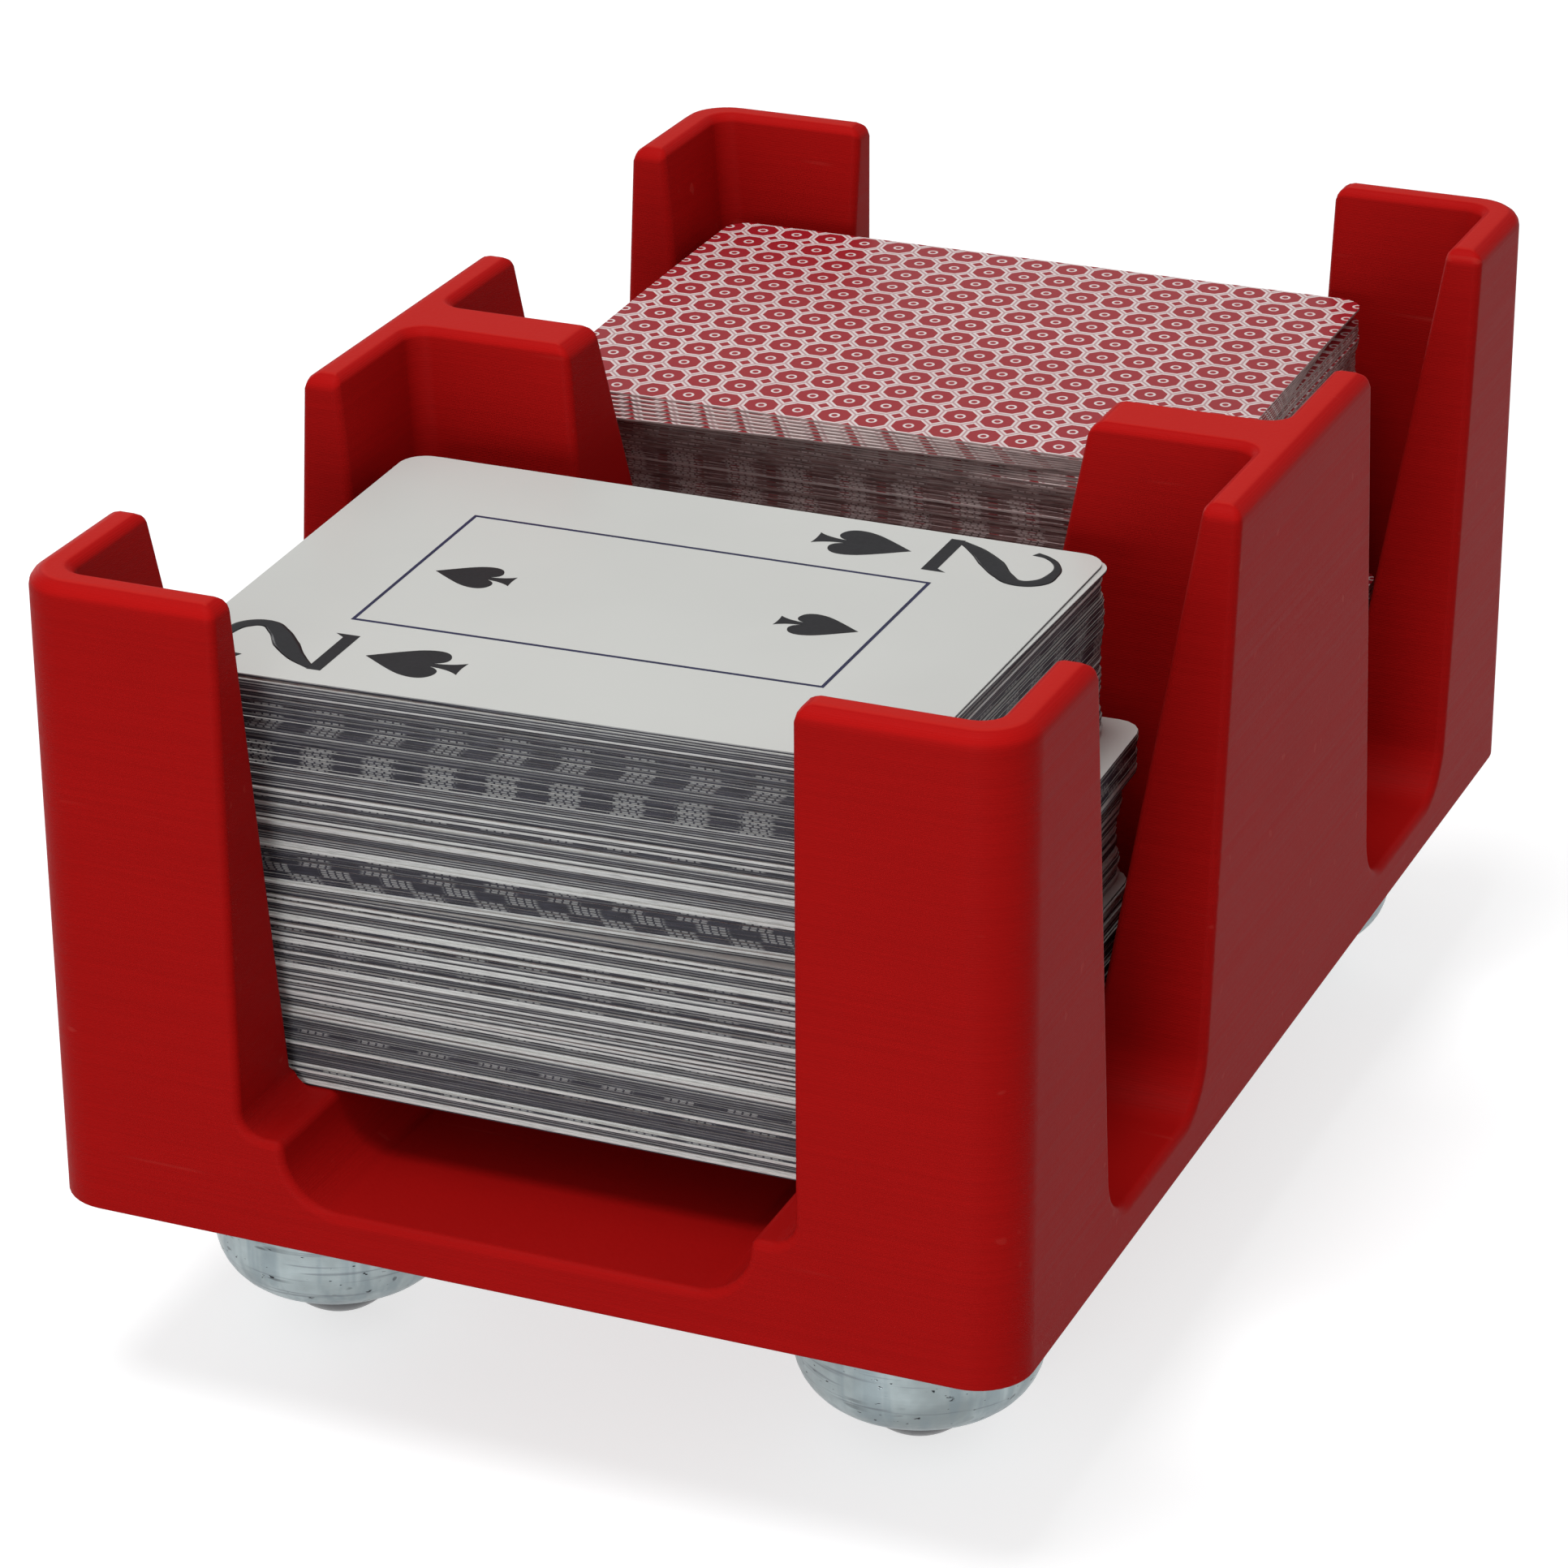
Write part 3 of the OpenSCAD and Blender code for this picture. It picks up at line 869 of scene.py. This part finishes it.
# Materials
def red_print(looks):
    """Red plastic printed in layers and beaded on its flat top, with a painted highlight on its flat top and
    along its rounded rims.
    """
    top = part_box("tray_body")[1][2]
    layer = 0.2 * MM
    look = Look("Red printed plastic", Specular_IOR_Level=0.025)
    print_layers = look.use("layers", Pitch=layer)
    fine, patches = look.grained(2600, 45)
    marks = look.scratched(1.0, 0.45)
    red = tuple(looks.red)
    tint = mix(print_layers["Band"] * 0.5, shade(red, 0.9), shade(red, 1.08))
    tint = mix(patches * 0.35, tint, shade(red, 0.86))
    height = put(look.tree, "SeparateXYZ", {0: look.place})["Z"]
    facing = put(look.tree, "SeparateXYZ", {0: put(look.tree, "NewGeometry")["Normal"]})["Z"]
    flat = span(facing, 0.93, 0.99)
    # A band just under the wall tops, where the painted highlight goes
    rim_highlight = span(height, top - 2.6 * MM, top - 0.8 * MM)
    # Painted highlight: the rounded rims, which face partly upward, are made brighter
    tint = mix(rim_highlight * span(facing, 0.1, 0.5), tint, shade(red, 1.18))
    # Painted highlight: the flat tops of the walls are painted a paler red
    tint = mix(rim_highlight * flat, tint, srgb(192, 36, 31))
    tint = mix(marks * 0.22, tint, srgb(188, 70, 62))
    rough = fine * 0.12 + 0.4 + print_layers["Band"] * 0.06
    beads = put(look.tree, "TexVoronoi", {"Vector": look.place, "Scale": 1500})["Distance"]
    relief = print_layers["Ridge"] * (1 - flat) + beads * flat * 0.9 + fine * 0.5 - marks * 0.8
    return look.finish(tint, rough, relief, 0.5, 0.03)


def zinc(looks):
    """Dull zinc with turned lines round it, stains that run down it, dark pits and a few cracks."""
    look = Look("Zinc plate", Metallic=1.0)
    fine, patches = look.grained(900, 150)
    marks = look.scratched(1.6, 0.9)
    lines = noise(stretched(look.place, (70, 70, 2200)))
    stains = noise(stretched(look.place, (520, 520, 40)))
    pits = span(noise(stretched(look.place, (700, 700, 1600)), rough=0.6), 0.68, 0.72)
    base = tuple(looks.zinc)
    tint = mix(patches, shade(base, 0.7), shade(base, 1.05))
    tint = mix(span(stains, 0.42, 0.62, 0.0, 0.55), tint, srgb(132, 146, 152))
    tint = mix(span(lines, 0.58, 0.7, 0.0, 0.6), tint, srgb(112, 118, 124))
    tint = mix((marks * 0.6).most(pits), tint, srgb(52, 54, 58))
    return look.finish(tint, fine * 0.25 + 0.26, lines * 0.5 + fine * 0.6 - marks.most(pits), 0.4, 0.08)


def steel(looks, name, darker, rough):
    look = Look(name, Metallic=1.0)
    fine, patches = look.grained(2400, 240)
    marks = look.scratched(2.0, 0.7)
    base = tuple(looks.steel)
    tint = mix(patches, shade(base, darker * 0.85), shade(base, darker))
    tint = mix(marks * 0.4, tint, srgb(80, 82, 86))
    return look.finish(tint, fine * 0.16 + (rough - 0.08), fine - marks, 0.2, 0.02)


def nylon(looks):
    look = Look("Nylon")
    fine, patches = look.grained(2000, 200)
    base = tuple(looks.nylon)
    return look.finish(mix(patches, shade(base, 0.88), base), 0.5, fine, 0.2, 0.02)


def card_face(looks):
    look = Look("Card face", on_card=True)
    fine, patches = look.grained(1800, 24)
    marks = look.scratched(0.5, 0.25)
    base = tuple(looks.card)
    tint = mix(marks * 0.12, mix(patches, shade(base, 0.965), base), srgb(150, 146, 140))
    return look.finish(tint, fine * 0.1 + 0.32, fine + patches * 3.0, 0.1, 0.03)


def ink(name, base):
    look = Look(name, Specular_IOR_Level=0.25)
    fine, patches = look.grained(2200, 300)
    return look.finish(mix(patches, base, shade(base, 1.35)), fine * 0.14 + 0.34, fine, 0.12, 0.02)


def card_back(looks):
    """Octagons and small squares in pale double lines on red."""
    pitch = 4.9 * MM
    # The half puts a tile's middle on the card's, and the whole tiles keep the sum above 0
    moved = 40.5
    diagonal = 0.7071
    look = Look("Card back", on_card=True)
    parts = put(look.tree, "SeparateXYZ", {0: look.place})
    x, y = (abs((parts[axis] / pitch + moved).run("FRACT") - 0.5) for axis in ("X", "Y"))
    slant = (x + y - diagonal) * -diagonal
    octagon = (0.5 - x.most(y)).run("MINIMUM", slant)
    inside = slant.run("GREATER_THAN", 0.0)
    near = octagon * inside + slant * -1.0 * (1 - inside)
    line = span(near, 0.095, 0.082)
    hollow = span(near, 0.022, 0.032)
    middle = put(look.tree, "CombineXYZ", {0: x, 1: y})[0]
    centre = put(look.tree, "VectorMath", {0: middle}, operation="LENGTH")["Value"]
    spot = span(centre, 0.15, 0.135) * span(centre, 0.075, 0.09)
    red, pale = tuple(looks.back), tuple(looks.back_pale)
    tint = mix(line, red, pale)
    tint = mix(line * (1 - hollow), tint, srgb(196, 158, 160))
    tint = mix(spot, tint, pale)
    fine, patches = look.grained(1800, 40)
    tint = mix(patches * 0.12, tint, shade(red, 0.7))
    return look.finish(tint, fine * 0.12 + 0.33, fine, 0.12, 0.02)


def card_edges(name, base, pale, wash, dash_share, wash_share, thick):
    """Edges of stacked cards: streaks, pale dashes in clusters, a wash between them, and pale strips of
    painted highlight that stand for the lit tops of cards that stick out.
    """
    look = Look(name, on_card=True, Specular_IOR_Level=0.3)
    tone, light = (put(look.tree, "Attribute", attribute_name=key)["Fac"]
                   for key in ("card_tone", "card_light"))
    edge = look.use("dashes", Tone=tone, Thickness=thick)
    tint = mix(span(edge["Streaks"], 0.35, 0.7), shade(base, 0.6), shade(base, 1.8))
    dashed = span(light, 0.1, 0.04)
    tint = mix((1 - edge["Column"]) * dashed * wash_share, tint, wash)
    tint = mix(edge["Dashes"] * dashed * dash_share, tint, pale)
    broken = span(edge["Streaks"], 0.3, 0.5, 0.6, 1.0)
    # Painted highlight: the upper part of every card's edge, and the whole edge of the palest cards, is
    # painted pale
    lit_strip = edge["Strip"].most(span(light, 0.8, 0.9, 0.0, 0.85))
    tint = mix(lit_strip * light * broken, tint, pale)
    return look.finish(tint, 0.6, edge["Streaks"], 0.3, 0.03)


def make_materials(looks, cards):
    GROUPS.update(
        scratches=make_group("Hairline scratches", ("Scale", "Amount"), scratches),
        grain=make_group("Grain and patches", ("Fine", "Coarse"), grain),
        layers=make_group("Printed layers", ("Pitch",), layers),
        dashes=make_group("Card edge print", ("Tone", "Thickness"), dashes))
    MATERIALS.update(
        red_print=red_print(looks), zinc=zinc(looks), nylon=nylon(looks),
        hard_steel=steel(looks, "Hard steel", 0.75, 0.34), ball_steel=steel(looks, "Ball steel", 0.3, 0.3),
        card_face=card_face(looks), card_back=card_back(looks),
        ink=ink("Black ink", tuple(looks.ink)), line=ink("Dark blue ink", tuple(looks.line)),
        discard_edges=card_edges("Discard card edges", tuple(looks.edge), srgb(212, 214, 212),
                                 srgb(36, 35, 42), 0.34, 0.16, cards.thick),
        draw_edges=card_edges("Draw card edges", tuple(looks.edge_worn), srgb(214, 198, 196),
                              srgb(126, 66, 70), 0.85, 0.26, cards.thick))


# Printed shapes of the top card
# Right half of a spade one unit long: points, each with its handle before and after
SPADE = [
    ((0, 0.5), (-0.05, 0.43), (0.05, 0.43)),
    ((0.36, 0.03), (0.3, 0.16), (0.44, -0.14)),
    ((0.24, -0.3), (0.4, -0.27), (0.13, -0.32)),
    ((0.045, -0.17), (0.07, -0.25), (0.05, -0.3)),
    ((0.17, -0.5), (0.09, -0.42), (0.06, -0.485)),
]
# Stroke of a two one unit high, without its foot: x, y and half the stroke's width
TWO = [(0.06, 0.1, 0.035), (0.22, 0.27, 0.075), (0.46, 0.45, 0.105), (0.72, 0.62, 0.085),
       (0.84, 0.76, 0.075), (0.78, 0.9, 0.07), (0.55, 0.965, 0.045), (0.3, 0.93, 0.028),
       (0.13, 0.8, 0.03), (0.09, 0.7, 0.045)]
# Prints of half a card in mm: shape, size in x and y, and place from the middle of the print
PRINTS = (("spade", (9.2, 11.8), (16.85, 24.1)), ("spade", (7.6, 9.7), (21.1, 0.1)),
          ("two", (11.8, 15.2), (25.7, 29.6)))
PRINT_UP = 0.9 * MM
# The thin frame: its size, its line and its place
FRAME_SIZE, FRAME_LINE, FRAME_PLACE = (57.2 * MM, 31.9 * MM), 0.42 * MM, (-0.3 * MM, 1.2 * MM, 0)


def as_mesh(name, data):
    """A mesh object made of a curve."""
    made = bpy.data.objects.new(name, data)
    bpy.context.scene.collection.objects.link(made)
    only(made)
    bpy.ops.object.convert(target="MESH")
    made = bpy.context.active_object
    made.name = made.data.name = name
    return made


def spade_shape():
    """A flat spade one unit long with its tip up, from a closed Bezier outline."""
    data = bpy.data.curves.new("spade", "CURVE")
    data.dimensions = "2D"
    data.fill_mode = "BOTH"
    data.resolution_u = 10
    left = [((-x, y), (-after_x, after_y), (-before_x, before_y))
            for (x, y), (before_x, before_y), (after_x, after_y) in reversed(SPADE) if x > 0]
    points = SPADE + left
    spline = data.splines.new("BEZIER")
    spline.use_cyclic_u = True
    spline.bezier_points.add(len(points) - 1)
    for point, (place, before, after) in zip(spline.bezier_points, points):
        point.handle_left_type = point.handle_right_type = "FREE"
        point.co = (*place, 0)
        point.handle_left = (*before, 0)
        point.handle_right = (*after, 0)
    return as_mesh("spade", data)


def two_shape():
    """A numeral two one unit high: a stroke that swells and thins, on a foot that widens to its end."""
    foot_low, foot_high, foot_end, foot_widens = (0.02, 0, -0.05), (0.78, 0.115, 0.05), 0.07, 1.7
    data = bpy.data.curves.new("two", "CURVE")
    data.dimensions = "3D"
    data.bevel_depth = 1.0
    data.bevel_resolution = 2
    data.resolution_u = 8
    data.use_fill_caps = True
    spline = data.splines.new("BEZIER")
    spline.bezier_points.add(len(TWO) - 1)
    for point, (x, y, radius) in zip(spline.bezier_points, TWO):
        point.co = (x, y, 0)
        point.radius = radius
        point.handle_left_type = point.handle_right_type = "AUTO"
    stroke = as_mesh("two", data)
    foot = block("two_foot", foot_low, foot_high)
    with editing(foot, "FACE", lambda face: face.normal.x > ALONG):
        bpy.ops.mesh.extrude_region_move(TRANSFORM_OT_translate={"value": (foot_end, 0, 0)})
        bpy.ops.transform.resize(value=(1, foot_widens, 1), center_override=(foot_high[0] + foot_end, 0, 0))
    return joined("two", [stroke, foot])


def press_flat(obj, thick):
    """Leaves a printed shape as a thin film of that thickness, its underside at height 0."""
    reach = max(abs(vert.co.z) for vert in obj.data.vertices)
    with editing(obj):
        if reach > TINY / 100:
            bpy.ops.transform.resize(value=(1, 1, thick / 2 / reach), center_override=(0, 0, 0))
            bpy.ops.transform.translate(value=(0, 0, thick / 2))
        else:
            bpy.ops.mesh.extrude_region_move(TRANSFORM_OT_translate={"value": (0, 0, thick)})
    outward(obj)


def make_print(depth):
    """The two, its spades and the thin frame, lying flat round the origin."""
    kinds = {"spade": spade_shape(), "two": two_shape()}
    for shape in kinds.values():
        press_flat(shape, depth)
    prints = []
    for turn, flip in ((0, 1), (180, -1)):
        for kind, size, (x, y) in PRINTS:
            made = copy_of(kinds[kind], "printed_" + kind)
            place = Vector((0, PRINT_UP, 0)) + Vector((flip * x * MM, flip * y * MM, 0))
            made.data.transform(turned_to(place, turn - 90, (size[0] * MM, size[1] * MM, 1)))
            prints.append(made)
    marks = joined("discard_top_print", prints)
    half_x, half_y = (size / 2 for size in FRAME_SIZE)
    border = block("frame_line", (-half_x, -half_y, 0), (half_x, half_y, depth))
    with editing(border, "FACE", lambda face: abs(face.normal.z) > ALONG):
        bpy.ops.mesh.inset(thickness=FRAME_LINE, depth=0)
        bpy.ops.mesh.bridge_edge_loops()
    border.data.transform(Matrix.Translation(FRAME_PLACE))
    for shape in kinds.values():
        bpy.data.objects.remove(shape)
    return marks, border


# Lights, floor and camera
WHITE = (1, 1, 1)
FLOOR_SIZE = 6
FLOOR_COLOUR = srgb(192, 193, 194)
# What the floor adds of its own to the eye, and how bright the room is for the lighting and for the eye
FLOOR_GLOW, ROOM_LEVEL, ROOM_SEEN = 0.67, 0.44, 1.0
# Each light's place, size in metres and power in watts
LIGHTS = {"Key light": ((-0.15, -0.3, 1.6), 0.7, 11.6),
          "Front fill": ((0.1, -1.3, 0.13), 0.6, 7.8),
          "Back fill": ((-1.2, 0.9, 0.25), 0.6, 3.5)}
LIGHTS_AIM = (0, 0, 0.05)
# The camera as it was solved from the photo: focal length on a 36 mm sensor, place, and turn in degrees
CAMERA_LENS, CAMERA_SENSOR = 123.99, 36
CAMERA_PLACE, CAMERA_TURN = (0.23036, -0.55755, 0.32018), (65.601, 0.301, 22.935)


def emptied(owner):
    """The node tree of a material or a world, with nothing in it."""
    owner.use_nodes = True
    owner.node_tree.nodes.clear()
    return owner.node_tree


def make_floor():
    floor = add_shape("floor", bpy.ops.mesh.primitive_plane_add, size=FLOOR_SIZE, location=(0, 0, 0))
    material = bpy.data.materials.new("Pale floor")
    tree = emptied(material)
    rays = put(tree, "LightPath")
    seen = rays["Is Camera Ray"].most(rays["Is Glossy Ray"].most(rays["Is Transmission Ray"]))
    matt = put(tree, "BsdfDiffuse", {"Color": FLOOR_COLOUR})[0]
    glow = put(tree, "Emission", {"Color": WHITE, "Strength": seen * FLOOR_GLOW})[0]
    put(tree, "OutputMaterial", {"Surface": put(tree, "AddShader", {0: matt, 1: glow})[0]})
    floor.data.materials.append(material)


def make_room():
    world = bpy.data.worlds.new("Soft room")
    bpy.context.scene.world = world
    tree = emptied(world)
    rays = put(tree, "LightPath")
    seen = rays["Is Camera Ray"].most(rays["Is Transmission Ray"])
    level = seen * (ROOM_SEEN - ROOM_LEVEL) + ROOM_LEVEL
    put(tree, "OutputWorld", {"Surface": put(tree, "Background", {"Color": WHITE, "Strength": level})[0]})


def make_lights():
    for name, (place, size, watts) in LIGHTS.items():
        lamp = bpy.data.lights.new(name, "AREA")
        lamp.shape = "DISK"
        lamp.size = size
        lamp.energy = watts
        holder = bpy.data.objects.new(name, lamp)
        bpy.context.scene.collection.objects.link(holder)
        holder.location = place
        holder.rotation_euler = (Vector(LIGHTS_AIM) - Vector(place)).to_track_quat("-Z", "Y").to_euler()


def make_camera():
    eye = bpy.data.cameras.new("Camera")
    eye.sensor_width = CAMERA_SENSOR
    eye.lens = CAMERA_LENS
    eye.clip_start = 0.01
    camera = bpy.data.objects.new("Camera", eye)
    bpy.context.scene.collection.objects.link(camera)
    camera.location = CAMERA_PLACE
    camera.rotation_euler = [math.radians(turn) for turn in CAMERA_TURN]
    bpy.context.scene.camera = camera
    bpy.context.scene.view_settings.view_transform = "Standard"


class CARDTRAY_OT_materials(bpy.types.Operator):
    """Make the materials, and give the kept solids of the feet theirs"""
    bl_idname = "card_tray.materials"
    bl_label = "Materials"

    def execute(self, context):
        make_materials(context.scene.card_tray_finishes, context.scene.card_tray_cards)
        kinds = {"foot_screws": "zinc", "flange": "zinc", "housing": "zinc", "race": "hard_steel",
                 "bearing_balls": "ball_steel", "retainer_ring": "nylon", "ball": "ball_steel"}
        for name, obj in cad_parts.items():
            kind = next((kinds[key] for key in kinds if name == key or name.startswith(key + "_")), None)
            if kind:
                for slot in obj.material_slots:
                    slot.material = MATERIALS[kind]
        return {"FINISHED"}


class CARDTRAY_OT_tray(bpy.types.Operator):
    """Build the printed tray with its two wells, trough and finger gaps"""
    bl_idname = "card_tray.tray"
    bl_label = "Printed Tray"

    def execute(self, context):
        shell = make_tray_shell(context.scene.card_tray_tray)
        dress(shell, "tray", "red_print", MATERIALS["red_print"])
        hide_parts("tray_body")
        return {"FINISHED"}


class CARDTRAY_OT_housings(bpy.types.Operator):
    """Lathe the four plated housings of the ball feet"""
    bl_idname = "card_tray.housings"
    bl_label = "Foot Housings"

    def execute(self, context):
        for corner, shell in make_housings(context.scene.card_tray_feet).items():
            dress(shell, "tray", "zinc", MATERIALS["zinc"])
            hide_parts("housing_" + corner)
        return {"FINISHED"}


class CARDTRAY_OT_discard_pile(bpy.types.Operator):
    """Lay the packets of the discard pile, faces up"""
    bl_idname = "card_tray.discard_pile"
    bl_label = "Discard Pile"

    def execute(self, context):
        sizes = context.scene.card_tray_cards
        finish = [MATERIALS[key] for key in ("discard_edges", "card_face", "card_back")]
        blank = card_blank(sizes, finish, *DISCARD_CELLS)
        walk = Walk(DISCARD_SEED, sizes.scatter, DISCARD_REACH)
        lay_packets("discard", DISCARD_PACKETS, DISCARD_BANDS, sizes, blank, walk, discard_hang(sizes))
        bpy.data.objects.remove(blank)
        return {"FINISHED"}


class CARDTRAY_OT_discard_cards(bpy.types.Operator):
    """Lay the two loose cards on the discard pile, and print the top one"""
    bl_idname = "card_tray.discard_cards"
    bl_label = "Discard Cards"

    def execute(self, context):
        sizes = context.scene.card_tray_cards
        finish = [MATERIALS[key] for key in ("discard_edges", "card_face", "card_back")]
        blank = card_blank(sizes, finish, *TOP_CELLS)
        hang = discard_hang(sizes)
        turns = {"second": -0.7, "top": 0.1}
        for part, body in (("second", "discard_pile"), ("top", "discard_card")):
            node = f"discard_{part}_card"
            place, height = seat(node)
            lay_single(blank, node, f"discard_{part}_playing_card", body, "card_face", turns[part],
                       height * FILL_SHARE, hang)
        face = turned_to(place + Vector((0, 0, height * FILL_SHARE)), turns["top"], (1, 1, 1))
        for piece, material in zip(make_print(sizes.ink), ("ink", "line")):
            piece.data.transform(face)
            bend(piece, hang)
            dress(piece, "discard_card", "card_face", MATERIALS[material])
        bpy.data.objects.remove(blank)
        return {"FINISHED"}


class CARDTRAY_OT_draw_pile(bpy.types.Operator):
    """Lay the packets, the fanned cards and the top card of the draw pile, backs up"""
    bl_idname = "card_tray.draw_pile"
    bl_label = "Draw Pile"

    def execute(self, context):
        sizes = context.scene.card_tray_cards
        finish = [MATERIALS[key] for key in ("draw_edges", "card_back", "card_face")]
        hang = draw_hang(sizes)
        top_turn = 0.3
        blank = card_blank(sizes, finish, *DRAW_CELLS)
        walk = Walk(DRAW_SEED, sizes.scatter, DRAW_REACH)
        lay_packets("draw", DRAW_PACKETS, DRAW_BANDS, sizes, blank, walk, hang)
        lay_fan(sizes, blank, walk, hang)
        bpy.data.objects.remove(blank)
        blank = card_blank(sizes, finish, *TOP_CELLS)
        lay_single(blank, "draw_top_card", "draw_top_playing_card", "draw_card", "card_back", top_turn,
                   seat("draw_top_card")[1], hang)
        bpy.data.objects.remove(blank)
        return {"FINISHED"}


class CARDTRAY_OT_stage(bpy.types.Operator):
    """Set the pale floor, the soft lights and the camera"""
    bl_idname = "card_tray.stage"
    bl_label = "Stage"

    def execute(self, context):
        make_floor()
        make_room()
        make_lights()
        make_camera()
        return {"FINISHED"}


OPERATORS = (CARDTRAY_OT_materials, CARDTRAY_OT_tray, CARDTRAY_OT_housings, CARDTRAY_OT_discard_pile,
             CARDTRAY_OT_discard_cards, CARDTRAY_OT_draw_pile, CARDTRAY_OT_stage)
PROPERTIES = {"card_tray_tray": TraySizes, "card_tray_feet": FootSizes, "card_tray_cards": CardSizes,
              "card_tray_finishes": Finishes}


class CARDTRAY_PT_panel(bpy.types.Panel):
    """The pieces of the card tray, and the sizes and colours that they take"""
    bl_idname = "CARDTRAY_PT_panel"
    bl_label = "Card Tray"
    bl_space_type = "VIEW_3D"
    bl_region_type = "UI"
    bl_category = "Card Tray"

    def draw(self, context):
        for operator in OPERATORS:
            self.layout.operator(operator.bl_idname)
        for name in PROPERTIES:
            group = getattr(context.scene, name)
            box = self.layout.box()
            for key in group.__annotations__:
                box.prop(group, key)


def register():
    for kind in (*PROPERTIES.values(), *OPERATORS, CARDTRAY_PT_panel):
        bpy.utils.register_class(kind)
    for name, kind in PROPERTIES.items():
        setattr(bpy.types.Scene, name, PointerProperty(type=kind))


def unregister():
    for name in PROPERTIES:
        delattr(bpy.types.Scene, name)
    for kind in (CARDTRAY_PT_panel, *reversed(OPERATORS), *PROPERTIES.values()):
        bpy.utils.unregister_class(kind)


def main():
    register()
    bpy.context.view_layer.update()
    for operator in OPERATORS:
        getattr(bpy.ops.card_tray, operator.bl_idname.split(".")[1])()


if __name__ == "__main__":
    main()
